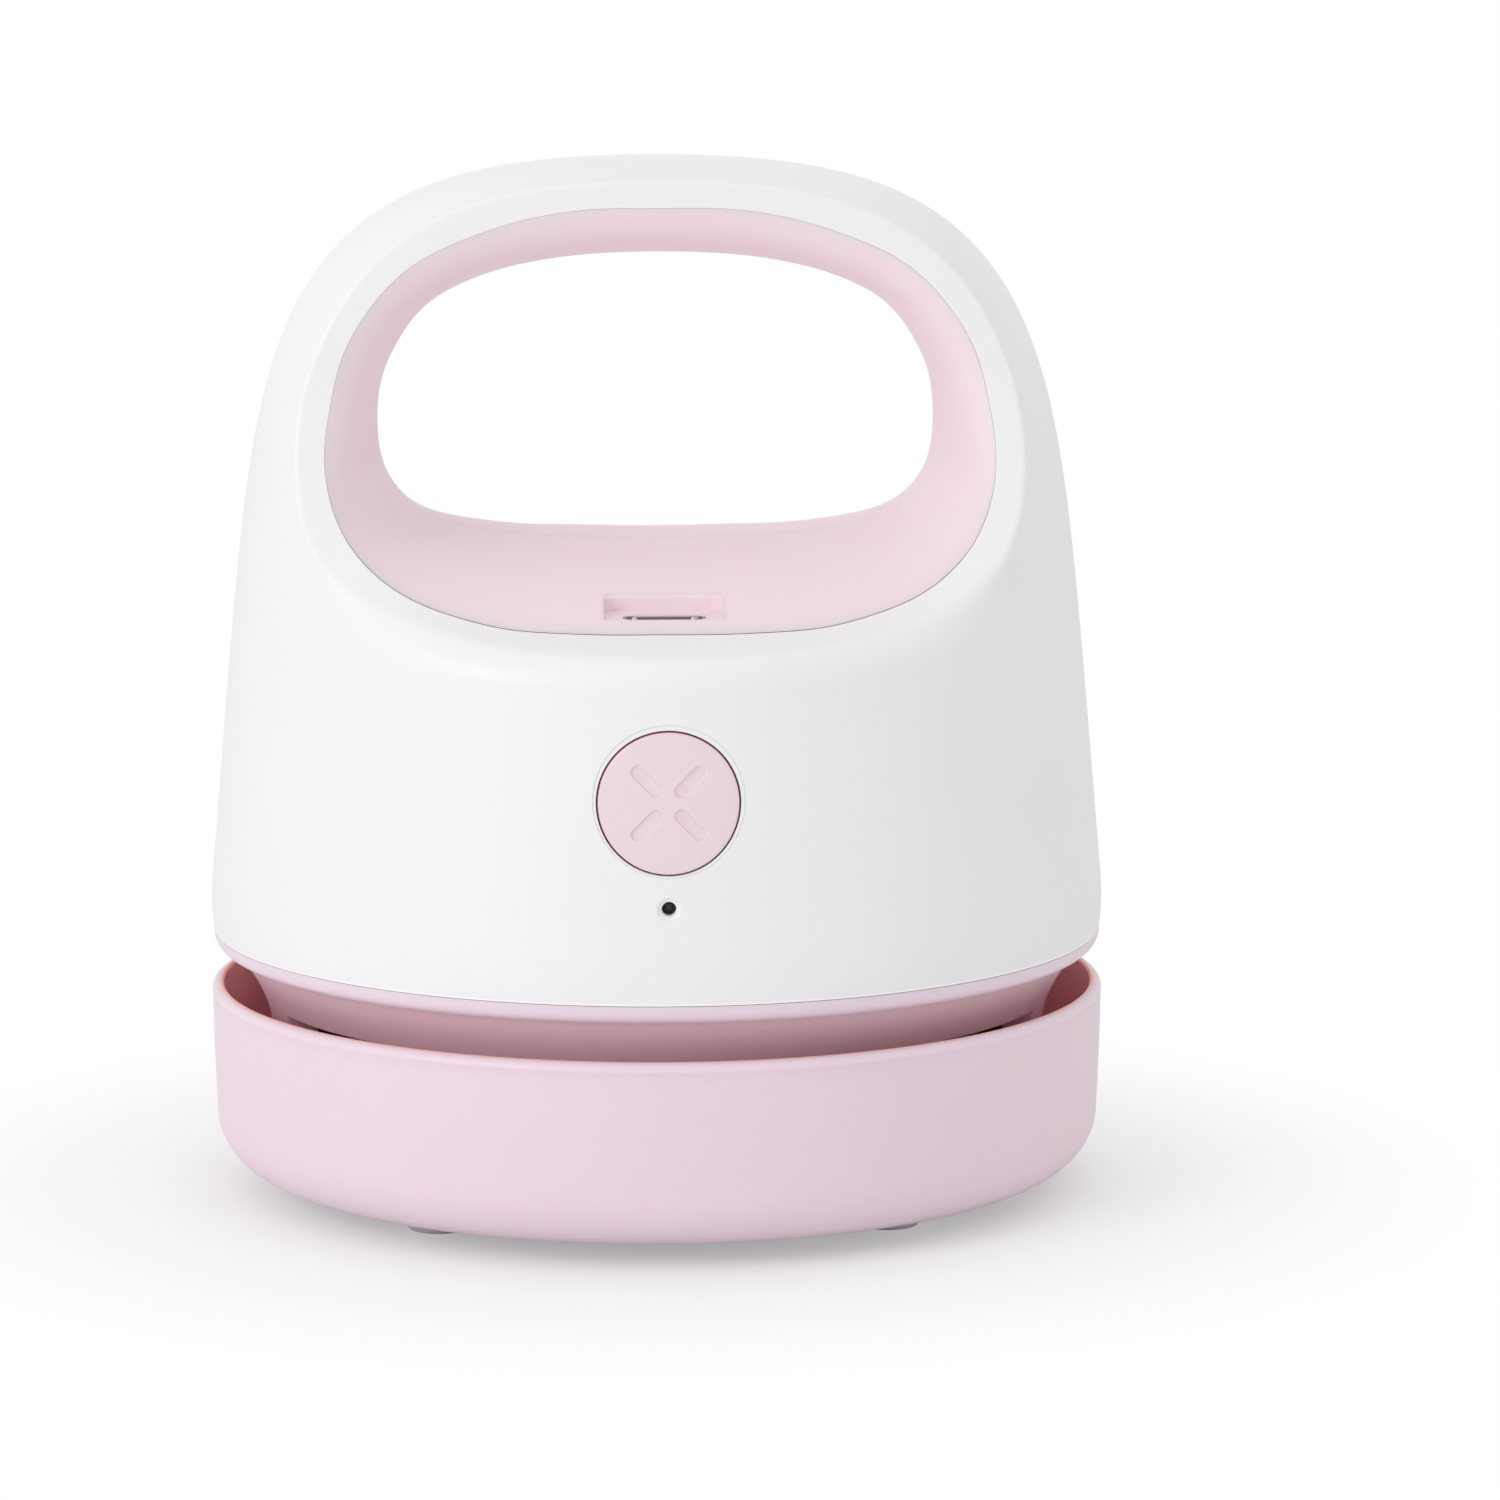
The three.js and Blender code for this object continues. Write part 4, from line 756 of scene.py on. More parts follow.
def makeSocket():
    width, thickness, sheet = socket["width"], socket["thickness"], socket["sheet"]
    top = notchFloor - socket["sunk"]
    low = top - socket["tall"] + sheet
    outside, inside = socket["corners"]
    bm = roundedBox(width, thickness, low - sheet, top, outside, socket["arcSteps"])
    size = (width - 2 * sheet, thickness - 2 * sheet)
    bm = cutAway(bm, roundedBox(*size, low, top + overrun, inside, socket["arcSteps"]))
    roundEdges(bm, edgesAbove(bm, top - 2 * touching), socket["mouthRound"])
    hollow = thickness / 2 - sheet
    # the inside of the sleeve is marked for painted shade
    markVerts(bm, "innerShade", lambda co: float(abs(co.y) < hollow + 20 * touching))
    for x in (-1, 1):
        for y in (-1, 1):
            finger = bmesh.ops.create_uvsphere(
                bm, u_segments=12, v_segments=8, radius=socket["fingerRadius"],
            )["verts"]
            bmesh.ops.scale(bm, verts=finger, vec=socket["fingerScale"])
            across, inwards = x * socket["fingerAcross"], y * (hollow - 40 * touching)
            shifted(bm, across, inwards, top - socket["fingerDrop"], finger)
    top -= socket["tongueDrop"]
    tongue = roundedBox(*socket["tongue"], low + socket["tongueGap"], top, socket["tongueCorner"], 2)
    roundEdges(tongue, edgesAbove(tongue, top - 2 * touching), socket["tongueGap"])
    for part in (bm, tongue):
        shifted(part, 0, -socket["depth"], 0)
    finishPiece("socketSleeve", bm, "housing", "steel", "usb_socket_shell")
    finishPiece("socketTongue", tongue, "housing", "black_plastic", "usb_socket_tongue")


makeSocket()


# Base ring: pink rim, cove and neck with its exhaust windows

base = {
    "rimInset": 0.25,
    "rimBottom": 23.65,
    "rimUndercut": 1.45,
    "rimLedge": 0.5,  # flat underside of the rim
    "rimBand": 0.2,  # straight band along the rim's upper edge
    "edgeRound": 0.06,
    "coveReach": 3.5,
    "coveHeight": 7.55,
    "covePower": 1.7,
    "bottom": ((34.85, 8.8), (35.15, 8.5), (37.0, 8.5)),  # radius and height along the neck's lower edge
    "levels": (8.8, 12.0, 15.55, 16.1, 16.6, 17.2, 17.8, 18.4, 19.0),  # rows up to the windows' upper edge
    "highLevel": 19.6,  # and from above it up to the rim
    "highStep": 0.42,
    "highCount": 10,
    "ledge": ((40.82, 23.57), (41.24, 23.59)),  # under the rim
    "inside": (  # from the spigot in over the deck and down the neck
        (40.45, 29.0), (38.85, 29.0), (38.85, 26.0), (3.4, 26.0), (3.4, 24.0), (34.45, 24.0), (34.85, 23.6),
        (34.85, 19.0), (34.85, 15.55),
    ),
    "windowLow": 15.55,
    "windowHigh": 19.0,
    "windowInner": 34.35,  # the wall's faces between the windows' heights lie between these radii
    "windowOuter": 39.0,
    "windowSpan": 69.5,  # degrees each side of the front and the back
    "windowSlack": 0.3,  # more, so that the edges at both ends count
    "windowRib": 3.0,
    "windowCount": 5,
    "steps": 720,
}
windowPitch = 2 * base["windowSpan"] / base["windowCount"]


def coveRadius(height):
    share = (height - base["rimBottom"] + base["coveHeight"]) / base["coveHeight"]
    neck = body["radius"] - base["rimInset"] - base["rimUndercut"] - base["rimLedge"] - base["coveReach"]
    return neck + base["coveReach"] * max(0, share) ** base["covePower"]


def windowTurns(place):  # degrees of a place from the front and from the back
    angle = math.degrees(math.atan2(place.y, place.x))
    return [(facing, (angle - facing + 180) % 360 - 180) for facing in (-90, 90)]


def inWindow(place):
    span, rib = base["windowSpan"], base["windowRib"] / 2
    for _, turn in windowTurns(place):
        if abs(turn) >= span:
            continue
        low = 0 if turn < -span + windowPitch else rib
        high = windowPitch if turn > span - windowPitch else windowPitch - rib
        if low < (turn + span) % windowPitch < high:
            return True
    return False


def neckProfile():
    rimBottom, edge = base["rimBottom"], base["edgeRound"]
    rimRadius = body["radius"] - base["rimInset"]
    coveTop = rimRadius - base["rimUndercut"]
    rimTop = body["seam"] - body["hairline"]
    levels = list(base["levels"])
    levels += [base["highLevel"] + base["highStep"] * k for k in range(base["highCount"])]
    profile = [*base["bottom"]] + [(coveRadius(height), height) for height in levels] + [*base["ledge"]]
    swell = rimTop - base["rimBand"] - rimBottom
    for across, rest in quarter(9):  # the rim swells outwards to its upper edge
        profile.append((coveTop + across * base["rimUndercut"], rimBottom + (1 - rest) * swell))
    profile += [(rimRadius, rimTop - edge), (rimRadius - edge, rimTop), (base["inside"][0][0], rimTop)]
    return profile + [*base["inside"]]


def makeBase():
    bm = turned(neckProfile(), base["steps"])
    walls = []
    for face in bm.faces:
        middle = face.calc_center_median()
        isBeside = base["windowInner"] <= math.hypot(middle.x, middle.y) < base["windowOuter"]
        if isBeside and base["windowLow"] < middle.z < base["windowHigh"] and inWindow(middle):
            walls.append(face)
    bmesh.ops.delete(bm, geom=walls, context="FACES")
    groups = {}  # the open edges of each window
    for edge in [edge for edge in bm.edges if len(edge.link_faces) == 1]:
        for facing, turn in windowTurns((edge.verts[0].co + edge.verts[1].co) / 2):
            if abs(turn) <= base["windowSpan"] + base["windowSlack"]:
                number = int((turn + base["windowSpan"]) // windowPitch)
                number = min(base["windowCount"] - 1, max(0, number))
                groups.setdefault((facing, number), []).append(edge)
    for edges in groups.values():
        bmesh.ops.bridge_loops(bm, edges=edges)
    bmesh.ops.recalc_face_normals(bm, faces=bm.faces)
    # the cove and neck under the rim get a deeper pink: painted shade
    markVerts(bm, "neckShade", lambda co: float(co.z < base["rimBottom"] + 40 * touching))
    finishPiece("baseRing", bm, "housing", "pink_plastic", "base_ring", 40)


makeBase()
print("base ring")


# Dust cup

cup = {
    "cornerRadius": 5.7,
    "flankTaper": 0.4,
    "flankPower": 1.6,
    "flankSteps": 10,
    "band": 0.06,  # the band under the lip stands proud by this
    "bandLow": 0.15,
    "bandHigh": 0.05,
    "lipThickness": 1.12,
    "lipRound": 0.8,
    "edgeRound": 0.17,
    "lipInner": (0.02, 0.4),  # inwards and down, where the inner wall starts
    "mouthTop": ((9.3, 6.4), (9.0, 6.1)),  # radius and height of the mouth's upper edge
    "mouthRadius": 9.0,
    "mouthFlare": 1.2,
    "underside": (  # from the mouth over the brush channel to the corner
        (13.0, 2.0), (13.2, 2.2), (13.2, 5.0), (18.2, 5.0), (18.2, 2.2), (18.4, 2.0), (25.0, 2.0),
        (33.5, 2.0),
    ),
    "inside": (  # down the wall, over the filter's ring and its ledge, and in to the hat over the brush
        (41.43, 13.91), (40.98, 7.7), (40.48, 5.5), (40.1, 4.5), (39.6, 3.9), (39.2, 3.6), (39.0, 3.6),
        (39.0, 11.3), (38.8, 11.5), (38.0, 11.5), (37.6, 11.1), (37.6, 7.0), (35.4, 7.0), (35.2, 6.8),
        (35.2, 4.1), (34.7, 3.6), (28.0, 3.6), (20.2, 3.6), (19.6, 4.2), (19.6, 5.9), (19.1, 6.4),
    ),
    "footCircle": 30.0,
    "footRadius": 3.0,
    "footTall": 2.3,
    "footRounds": (0, 0.45, 0.1, 0),
    "footGap": 0.2,
    "footSink": 0.4,
    "footSides": 64,
    "shadeReach": 5.2,  # the painted shade starts inside this radius of the corner,
    "shadeRise": 2.8,  # above this height on the floor
    "shadeRadius": 19.6,  # and outside the hat
    "glowFrom": 0.62,  # from the lip's inner edge outwards, where the painted warm glow starts
    "glowWidth": 0.35,
    "glowDrop": 0.3,
}
cupInner = body["radius"] - cup["lipThickness"]
cupCorner = body["radius"] - cup["flankTaper"] - cup["cornerRadius"]
flankLow = body["foot"] + cup["cornerRadius"]
footPlaces = [
    (cup["footCircle"] * math.cos(math.radians(angle)), cup["footCircle"] * math.sin(math.radians(angle)))
    for angle in (45, 135, 225, 315)
]


def cupProfile():  # from the mouth under the cup out, up to the lip and back in over the floor
    foot, lip, outer = body["foot"], body["lip"], body["radius"]
    mouth, flare = cup["mouthRadius"], cup["mouthFlare"]
    profile = [*cup["mouthTop"]]
    profile += [(mouth + flare * (1 - out), foot + flare * (1 - up)) for up, out in quarter(6)]
    profile += cup["underside"]
    radius = cup["cornerRadius"]
    profile += [(cupCorner + radius * out, flankLow - radius * down) for out, down in quarter(16)]
    shoulder = lip - cup["lipRound"]
    bandLow = shoulder - cup["bandLow"]
    for k in range(1, cup["flankSteps"]):
        share = k / cup["flankSteps"]
        taper = (cup["flankTaper"] - cup["band"]) * (1 - share) ** cup["flankPower"]
        profile.append((outer - cup["band"] - taper, flankLow + share * (bandLow - flankLow)))
    profile += [(outer - cup["band"], bandLow), (outer, shoulder - cup["bandHigh"]), (outer, shoulder)]
    edge = cupInner + cup["edgeRound"]
    profile += [(edge + (outer - edge) * out, shoulder + cup["lipRound"] * up) for up, out in quarter(8, 1)]
    inwards, down = cup["lipInner"]
    profile += [(cupInner, lip - cup["edgeRound"]), (cupInner - inwards, lip - down)]
    return profile + [*cup["inside"]]


def cupShadeShare(co):  # 1 on the inner faces of the cup, where shade and bounced pink light are painted
    radius = math.hypot(co.x, co.y)
    if co.z >= flankLow:
        return float(radius < cupInner - 20 * touching)
    if radius > cupCorner:
        return float(math.hypot(radius - cupCorner, co.z - flankLow) < cup["shadeReach"])
    return float(co.z > cup["shadeRise"] and radius > cup["shadeRadius"])


def lipGlowShare(co):  # 1 along the inner edge of the lip, where a warm glow is painted
    if co.z <= body["lip"] - cup["glowDrop"]:
        return 0
    return min(1, max(0, (cupInner + cup["glowFrom"] - math.hypot(co.x, co.y)) / cup["glowWidth"]))


def makeCup():
    bm = turned(cupProfile())
    for x, y in footPlaces:
        seat = bmesh.new()
        addRod(seat, cup["footSides"], cup["footRadius"] + cup["footGap"], 2 * cup["footSink"])
        bm = cutAway(bm, shifted(seat, x, y, body["foot"]))
    # the cup's inner faces get a deeper pink: painted shade and bounced light
    markVerts(bm, "innerShade", cupShadeShare)
    # the lip's inner edge is marked for a painted warm glow
    markVerts(bm, "lipGlow", lipGlowShare)
    finishPiece("dustCup", bm, "dust_cup", "pink_plastic", "dust_cup", 40)


makeCup()
print("dust cup")


def makeFeet():
    for number, (x, y) in enumerate(footPlaces, 1):
        foot = squareRing(0, cup["footRadius"], 0, cup["footTall"], cup["footRounds"], 5, cup["footSides"])
        shifted(foot, x, y, 0)
        finishPiece(f"glideFoot{number}", foot, "dust_cup", "rubber", f"glide_foot_{number}")


makeFeet()


# Brush round the mouth under the cup, and the seals

brush = {
    "inner": 13.5,
    "outer": 17.9,
    "holderLow": 3.7,
    "holderHigh": 4.9,
    "edgeRound": 0.15,
    "holderSides": 144,
    "tip": 0.3,
    "rootDepth": 0.1,
    "strandRadius": 0.16,
    "tipShare": 0.6,  # of the strand's radius
    "rings": (14.75, 15.35, 15.95, 16.55),
    "perRing": 108,
    "swing": 0.2,  # how uneven the strands stand, as a share of their spacing
    "uneven": 0.18,  # and how much shorter some are
    "lean": 0.07,
    "steps": (12.9898, 78.233, 7.31, 3.7),  # sines at these steps scatter the strands, the same way each run
}


def makeBrushHolder():
    low, high = brush["holderLow"], brush["holderHigh"]
    rounds = 4 * [brush["edgeRound"]]
    bm = squareRing(brush["inner"], brush["outer"], low, high, rounds, 3, brush["holderSides"])
    finishPiece("brushHolder", bm, "dust_cup", "grey_plastic", "brush_holder")


def makeStrands():
    bm = bmesh.new()
    root = brush["holderLow"] - brush["rootDepth"]
    thick, steps = brush["strandRadius"], brush["steps"]
    for ring, radius in enumerate(brush["rings"]):
        for k in range(brush["perRing"]):
            swing = brush["swing"] * math.sin(steps[0] * (k + 1) + steps[1] * ring)
            angle = 2 * math.pi * (k + 0.5 * (ring % 2) + swing) / brush["perRing"]
            length = root - brush["tip"] - brush["uneven"] * abs(math.sin(steps[2] * k + ring))
            strand = addRod(bm, 4, thick, length, brush["tipShare"] * thick)
            shifted(bm, 0, 0, root - length / 2, strand)
            lean = Matrix.Rotation(brush["lean"] * math.sin(steps[3] * k + 2 * ring), 3, "X")
            bmesh.ops.rotate(bm, verts=strand, cent=(0, 0, root), matrix=lean)
            shifted(bm, radius * math.cos(angle), radius * math.sin(angle), 0, strand)
    finishPiece("brushStrands", bm, "dust_cup", "bristle", "brush_bristles", 60)


makeBrushHolder()
makeStrands()

seals = {  # flat rubber rings; the top runs inwards as (distance from the edge, drop, rounding)
    "cupSeal": {
        "node": "cup_seal_ring",
        "body": "dust_cup",
        "width": 1.8,
        "lowRound": 0.15,
        "top": (
            (0, 0.35, 0.1), (0.35, 0, 0.15), (0.75, 0.35, 0.1), (1.05, 0.35, 0.1), (1.45, 0, 0.15),
            (1.8, 0.35, 0.1),
        ),
    },
    "filterGasket": {
        "node": "filter_gasket",
        "body": "filter",
        "width": 2.3,
        "lowRound": 0.25,
        "top": ((0, 0, 0.3), (0.8, 0, 0.2), (1.15, 0.4, 0.2), (1.5, 0, 0.2), (2.3, 0, 0.3)),
    },
}
ringSides = 192


def makeSeal(name, seal):
    low, high = boxOf(seal["node"])
    corners = [(high.x - seal["width"], low.z, seal["lowRound"]), (high.x, low.z, seal["lowRound"])]
    corners += [(high.x - inwards, high.z - drop, rounding) for inwards, drop, rounding in seal["top"]]
    finishPiece(name, turned(roundCorners(corners, 3), ringSides), seal["body"], "rubber", seal["node"])


for sealName, sealForm in seals.items():
    makeSeal(sealName, sealForm)
print("feet, brush and seals")


# Filter: a frame with crossed bars, and a pleated element behind it

filterForm = {
    "frameWidth": 2.6,
    "frameRounds": (0.3, 0.35, 0.2, 0.2),
    "barWidth": 2.0,
    "barTall": 1.0,
    "crossTall": 0.98,  # the second bar, thinner so that no faces coincide
    "barRound": 0.22,
    "pleats": 27,
    "perPleat": 8,
    "rows": 40,
    "pleatHeight": 0.42,
    "calmWidth": 2.0,  # the pleats fade out over this width at the sides
    "calmShare": 0.125,  # and this share of their length at the ends
    "paper": 0.3,
}


def makeFilterFrame():
    low, high = boxOf("filter_frame")
    outer, inner = high.x, high.x - filterForm["frameWidth"]
    bm = squareRing(inner, outer, low.z, high.z, filterForm["frameRounds"], 4, ringSides)
    for turn, tall in ((0, filterForm["barTall"]), (90, filterForm["crossTall"])):
        bar = bmesh.ops.create_cube(bm, size=1)["verts"]
        bmesh.ops.scale(bm, verts=bar, vec=(2 * inner + 1, filterForm["barWidth"], tall))
        shifted(bm, 0, 0, low.z + filterForm["barTall"] / 2, bar)
        bmesh.ops.rotate(bm, verts=bar, matrix=Matrix.Rotation(math.radians(turn), 3, "Z"))
        roundEdges(bm, list({edge for vert in bar for edge in vert.link_edges}), filterForm["barRound"])
    finishPiece("filterFrame", bm, "filter", "white_plastic", "filter_frame")


def makePleats():
    low, high = boxOf("filter_element")
    radius = high.x
    middle = (low.z + high.z) / 2
    pleats = filterForm["pleats"]
    bm = bmesh.new()
    bmesh.ops.create_grid(
        bm, x_segments=pleats * filterForm["perPleat"], y_segments=filterForm["rows"], size=0.5,
    )
    for vert in bm.verts:
        x = 2 * radius * vert.co.x
        reach = math.sqrt(max(0, radius ** 2 - x ** 2))
        wave = math.sin(2 * math.pi * pleats * vert.co.x)
        calm = min(1, (radius - abs(x)) / filterForm["calmWidth"])
        calm *= min(1, (0.5 - abs(vert.co.y)) / filterForm["calmShare"])
        vert.co = (x, 2 * reach * vert.co.y, middle + filterForm["pleatHeight"] * wave * calm)
    bmesh.ops.remove_doubles(bm, verts=bm.verts, dist=2 * touching)
    bmesh.ops.recalc_face_normals(bm, faces=bm.faces)
    bmesh.ops.solidify(bm, geom=bm.faces[:], thickness=filterForm["paper"])
    finishPiece("filterPleats", bm, "filter", "filter", "filter_element", 60)


makeFilterFrame()
makePleats()
print("filter")


# Power button: its face follows the dome, with four shallow grooves

def makeButton():
    radius, rounding = button["radius"], button["edgeRound"]
    rings = [((radius - rounding) * k / button["faceRings"], 0) for k in range(button["faceRings"] + 1)]
    for out, back in quarter(button["edgeRings"], 1):
        rings.append((radius - rounding * (1 - out), rounding * (1 - back)))
    rings += [(radius + wider, depth) for wider, depth in button["skirt"]]
    bm = sinkTool(roundSink(button["height"]), rings, button["sides"])
    skirtShade = button["skirtShade"]
    # the button's side wall, seen down its gap, is marked for a painted warm shade
    markVerts(bm, "innerShade", lambda co: float(math.hypot(co.x, co.z - button["height"]) > skirtShade))
    for k in range(button["grooveCount"]):
        direction = 2 * math.pi * (k + 0.5) / button["grooveCount"]
        bm = cutAway(bm, sinkTool(capsuleSink(direction), button["groove"], button["grooveSides"]))
    for across, front, back in button["rods"]:
        rod = addRod(bm, button["rodSides"], across, front - back)
        layForward(bm, rod, (front + back) / 2, button["height"])
    finishPiece("powerButton", bm, "power_button", "button_plastic", "power_button", 40)


makeButton()
print("button")


# Materials

class Wire:  # a shader socket; sums and products of wires add Math nodes
    def __init__(self, tree, socket=None):
        self.tree = tree
        self.socket = socket

    def add(self, kind, settings=None, inputs=None, output=0):
        node = self.tree.nodes.new(kind)
        for name, value in (settings or {}).items():
            setattr(node, name, value)
        for name, value in (inputs or {}).items():
            if isinstance(value, Wire):
                self.tree.links.new(value.socket, node.inputs[name])
            else:
                node.inputs[name].default_value = value
        return Wire(self.tree, node.outputs[output] if node.outputs else None)

    def maths(self, operation, first, second):
        return self.add("ShaderNodeMath", {"operation": operation}, {0: first, 1: second})

    def __add__(self, other):
        return self.maths("ADD", self, other)

    def __mul__(self, other):
        return self.maths("MULTIPLY", self, other)

    __radd__ = __add__
    __rmul__ = __mul__


def linear(red, green, blue):  # screen colour in 0 to 255 to linear light
    values = [c / 255 for c in (red, green, blue)]
    return tuple(c / 12.92 if c <= 0.04045 else ((c + 0.055) / 1.055) ** 2.4 for c in values) + (1,)


def lightened(colour, share):
    return tuple(min(1, c * share) for c in colour[:3]) + (1,)


def startFinish(name):
    material = bpy.data.materials.new(name)
    material.use_nodes = True
    material.node_tree.nodes.clear()
    tree = Wire(material.node_tree)
    return material, tree, tree.add("ShaderNodeTexCoord", output="Object")


def coat(tree, values):  # the shader that the light falls on
    return tree.add("ShaderNodeBsdfPrincipled", None, values)


def endFinish(tree, surface):
    tree.add("ShaderNodeOutputMaterial", None, {"Surface": surface})


def noiseOf(tree, place, scale, detail=2.0, roughness=0.5):
    return tree.add(
        "ShaderNodeTexNoise", {"noise_dimensions": "3D"},
        {"Vector": place, "Scale": scale, "Detail": detail, "Roughness": roughness},
    )


def bumpOf(tree, height, strength, distance):
    return tree.add("ShaderNodeBump", None, {"Strength": strength, "Distance": distance, "Height": height})


def tinted(tree, mask, low, high):
    return tree.add("ShaderNodeMix", {"data_type": "RGBA"}, {0: mask, 6: low, 7: high}, 2)


def marked(tree, mark):  # what markVerts kept
    return tree.add("ShaderNodeAttribute", {"attribute_name": mark}, output=2)


plastic = {
    "cloudScale": 60,
    "fineScale": 2600,
    "swirlScale": 420,
    "spread": 0.02,  # how far the colour wanders
    "cloudRough": 0.08,  # how much the clouds and the grain change the roughness
    "fineRough": 0.06,
    "fineBump": 0.7,
    "bumpDepth": 0.00004,
    "glowDepth": 0.0022,  # how deep light goes into the pink pieces
}


# The painted light and shade replace the colour where pieces are marked, and the line is (height, half
# width) of a painted white highlight
def mouldedPlastic(name, colour, roughness=0.42, grain=0.25, soft=0.0, paintedShading=None, line=None):
    material, tree, place = startFinish(name)
    cloudy = noiseOf(tree, place, plastic["cloudScale"], 3)
    fine = noiseOf(tree, place, plastic["fineScale"])
    swirl = noiseOf(tree, place, plastic["swirlScale"])
    colour = linear(*colour)
    low, high = lightened(colour, 1 - plastic["spread"]), lightened(colour, 1 + plastic["spread"])
    shade = tinted(tree, cloudy, low, high)
    # a painted highlight: white along a band of heights
    if line:
        height = tree.add("ShaderNodeSeparateXYZ", None, {0: place}, 2)
        near = tree.add("ShaderNodeMath", {"operation": "COMPARE"}, {0: height, 1: line[0], 2: line[1]})
        shade = tinted(tree, near, shade, linear(255, 255, 255))
    # painted light and shade replace the colour where pieces are marked
    for mark, paintedColour in (paintedShading or {}).items():
        shade = tinted(tree, marked(tree, mark), shade, linear(*paintedColour))
    cloudRough, fineRough, fineBump = plastic["cloudRough"], plastic["fineRough"], plastic["fineBump"]
    endFinish(tree, coat(tree, {
        "Base Color": shade,
        "Roughness": cloudy * cloudRough + (fine * fineRough + (roughness - (cloudRough + fineRough) / 2)),
        "Normal": bumpOf(tree, fine * fineBump + swirl * (1 - fineBump), grain, plastic["bumpDepth"]),
        "Specular IOR Level": 0.5,
        "Subsurface Weight": soft,
        "Subsurface Radius": (1.0, 0.4, 0.35),
        "Subsurface Scale": plastic["glowDepth"],
    }))
    return material


metal = {
    "stretch": (1, 1, 12),
    "scratchScale": 900,
    "scratchRough": 0.15,
    "stainScale": 150,
    "stain": 0.85,
    "hollow": (118, 106, 112),  # painted shade inside the socket
    "bump": (0.25, 0.00003),  # strength and depth
}


def brushedMetal(name, colour, roughness=0.28):
    material, tree, place = startFinish(name)
    stretched = tree.add("ShaderNodeMapping", None, {"Vector": place, "Scale": metal["stretch"]})
    scratches = noiseOf(tree, stretched, metal["scratchScale"], 3, 0.6)
    stain = noiseOf(tree, place, metal["stainScale"])
    colour = linear(*colour)
    shade = tinted(tree, stain, lightened(colour, metal["stain"]), colour)
    endFinish(tree, coat(tree, {
        # painted shade where the inside of the socket is marked
        "Base Color": tinted(tree, marked(tree, "innerShade"), shade, linear(*metal["hollow"])),
        "Roughness": scratches * metal["scratchRough"] + (roughness - 0.4 * metal["scratchRough"]),
        "Metallic": 1.0,
        "Normal": bumpOf(tree, scratches, *metal["bump"]),
    }))
    return material


board = {
    "trackScale": 420,
    "trackWander": 0.55,
    "trackWidth": 0.07,
    "lacquer": (27, 98, 62),
    "track": (58, 134, 80),
    "grainScale": 2400,
    "bump": (0.6, 0.00005),
}


def tracedBoard():  # green lacquer over copper tracks
    material, tree, place = startFinish("board")
    cells = tree.add(
        "ShaderNodeTexVoronoi", {"feature": "DISTANCE_TO_EDGE"},
        {"Vector": place, "Scale": board["trackScale"], "Randomness": board["trackWander"]},
    )
    track = tree.maths("LESS_THAN", cells, board["trackWidth"])
    grain = noiseOf(tree, place, board["grainScale"])
    endFinish(tree, coat(tree, {
        "Base Color": tinted(tree, track, linear(*board["lacquer"]), linear(*board["track"])),
        "Roughness": grain * 0.1 + 0.3,
        "Normal": bumpOf(tree, track + grain * 0.2, *board["bump"]),
    }))
    return material


plastics = (  # slot, name, colour, roughness and grain
    ("black_plastic", "blackPlastic", (34, 33, 35), 0.5, 0.25),
    ("grey_plastic", "greyPlastic", (143, 146, 150), 0.5, 0.25),
    ("clear_plastic", "clearPlastic", (17, 15, 15), 0.2, 0.15),
    ("lamp", "lamp", (233, 226, 200), 0.3, 0.15),
    ("rubber", "rubber", (232, 220, 226), 0.75, 0.5),
    ("bristle", "bristle", (243, 241, 238), 0.55, 0.25),
    ("filter", "filterPaper", (242, 239, 230), 0.92, 0.9),
    ("battery", "battery", (159, 180, 200), 0.35, 0.15),
    ("red_wire", "redWire", (179, 32, 31), 0.45, 0.15),
    ("black_wire", "blackWire", (27, 27, 29), 0.45, 0.15),
)
# Painted light and shade on the pink pieces: shade on inner walls and under the rim, a lighter liner, a warm
# glow along the cup's lip
pinkLightAndShade = {
    "innerShade": (240, 184, 187),
    "neckShade": (236, 200, 211),
    "linerLight": (247, 227, 235),
    "lipGlow": (255, 192, 168),
}
seamHighlight = 0.12  # half height of the painted highlight along the shell's lower edge

finishes = {slot: mouldedPlastic(*values) for slot, *values in plastics}
finishes.update({
    "white_plastic": mouldedPlastic(
        "whitePlastic", (242, 242, 244), line=((body["seam"] + seamHighlight) * mm, seamHighlight * mm),
    ),
    "pink_plastic": mouldedPlastic("pinkPlastic", (238, 217, 228), soft=0.25, paintedShading=pinkLightAndShade),
    # the button plastic has a painted warm shade on its marked side wall
    "button_plastic": mouldedPlastic(
        "buttonPlastic", (239, 218, 227), 0.4, soft=0.25, paintedShading={"innerShade": (196, 120, 118)},
    ),
    "steel": brushedMetal("steel", (196, 197, 200)),
    "brass": brushedMetal("brass", (201, 163, 90), 0.32),
    "board": tracedBoard(),
})


def dressPieces():
    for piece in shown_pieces():
        slot = piece.get("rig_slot") or piece.data.materials[0].name
        piece.data.materials.clear()
        piece.data.materials.append(finishes[slot])


dressPieces()


# Floor, world and lamps

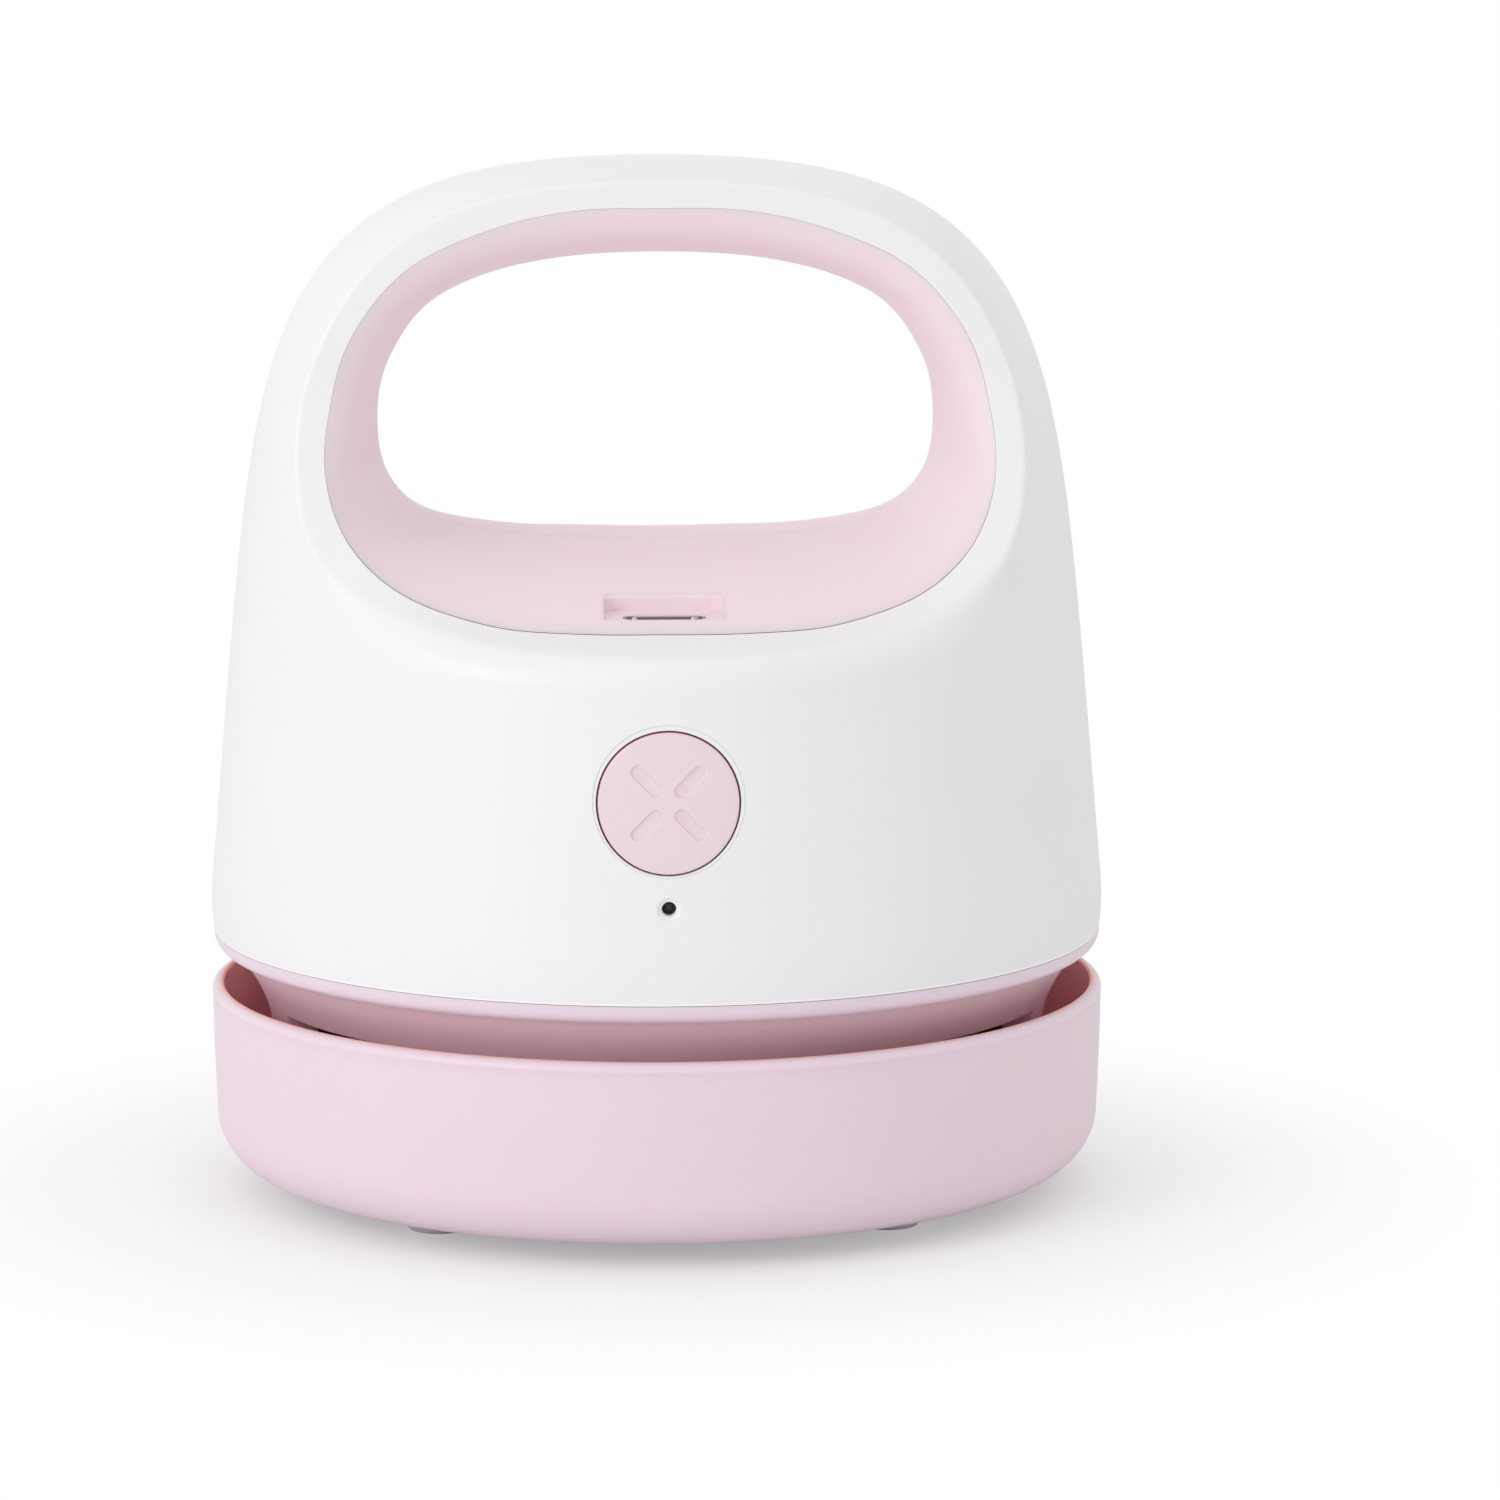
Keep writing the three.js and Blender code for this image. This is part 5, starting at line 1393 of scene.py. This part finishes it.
light = {
    "ambient": 0.772,
    "aim": (0, 0, 0.05),
    "lamps": (  # name, place, width and power
        ("key", (-0.8, -0.75, 0.5), 0.6, 3.2),
        ("top", (0.0, 0.1, 1.1), 0.7, 0.6),
    ),
}
white = (1, 1, 1, 1)
floorForm = {
    "radius": 3,
    "sides": 64,
    "colour": (0.93, 0.93, 0.93, 1),
    "fadeFrom": 0.035,  # between these distances the floor turns white for the camera
    "fadeTo": 0.085,
    "leastWhite": 0.35,
}


def makeWorld():
    world = bpy.data.worlds.new("studio")
    bpy.context.scene.world = world
    world.use_nodes = True
    world.node_tree.nodes.clear()
    tree = Wire(world.node_tree)
    seen = tree.add("ShaderNodeLightPath", output="Is Camera Ray")
    for ray in ("Is Transmission Ray", "Is Glossy Ray"):
        seen = seen + tree.add("ShaderNodeLightPath", output=ray)
    seen = tree.maths("MINIMUM", seen, 1)
    strength = seen * (1 - light["ambient"]) + light["ambient"]
    background = tree.add("ShaderNodeBackground", None, {"Color": white, "Strength": strength})
    tree.add("ShaderNodeOutputWorld", None, {"Surface": background})


def makeFloor():
    bm = bmesh.new()
    bmesh.ops.create_circle(bm, cap_ends=True, segments=floorForm["sides"], radius=floorForm["radius"])
    floor = addMesh("floor", bm)
    material, tree, place = startFinish("floor")
    matte = coat(tree, {"Base Color": floorForm["colour"], "Roughness": 0.9, "Specular IOR Level": 0.1})
    away = tree.add("ShaderNodeVectorMath", {"operation": "LENGTH"}, {0: place}, 1)
    fade = tree.add("ShaderNodeMapRange", {"interpolation_type": "SMOOTHSTEP"}, {
        "Value": away,
        "From Min": floorForm["fadeFrom"],
        "From Max": floorForm["fadeTo"],
        "To Min": floorForm["leastWhite"],
    })
    glow = tree.add("ShaderNodeEmission", None, {"Color": white, "Strength": 1.0})
    share = fade * tree.add("ShaderNodeLightPath", output="Is Camera Ray")
    endFinish(tree, tree.add("ShaderNodeMixShader", None, {0: share, 1: matte, 2: glow}))
    floor.data.materials.append(material)


def makeLamps():
    for name, place, size, power in light["lamps"]:
        data = bpy.data.lights.new(name, "AREA")
        data.shape = "DISK"
        data.size = size
        data.energy = power
        holder = addObject(name, data)
        holder.location = place
        aim = Vector(light["aim"]) - Vector(place)
        holder.rotation_euler = aim.to_track_quat("-Z", "Y").to_euler()


bpy.context.scene.view_settings.view_transform = "Standard"
makeWorld()
makeFloor()
makeLamps()
print("stage ready")
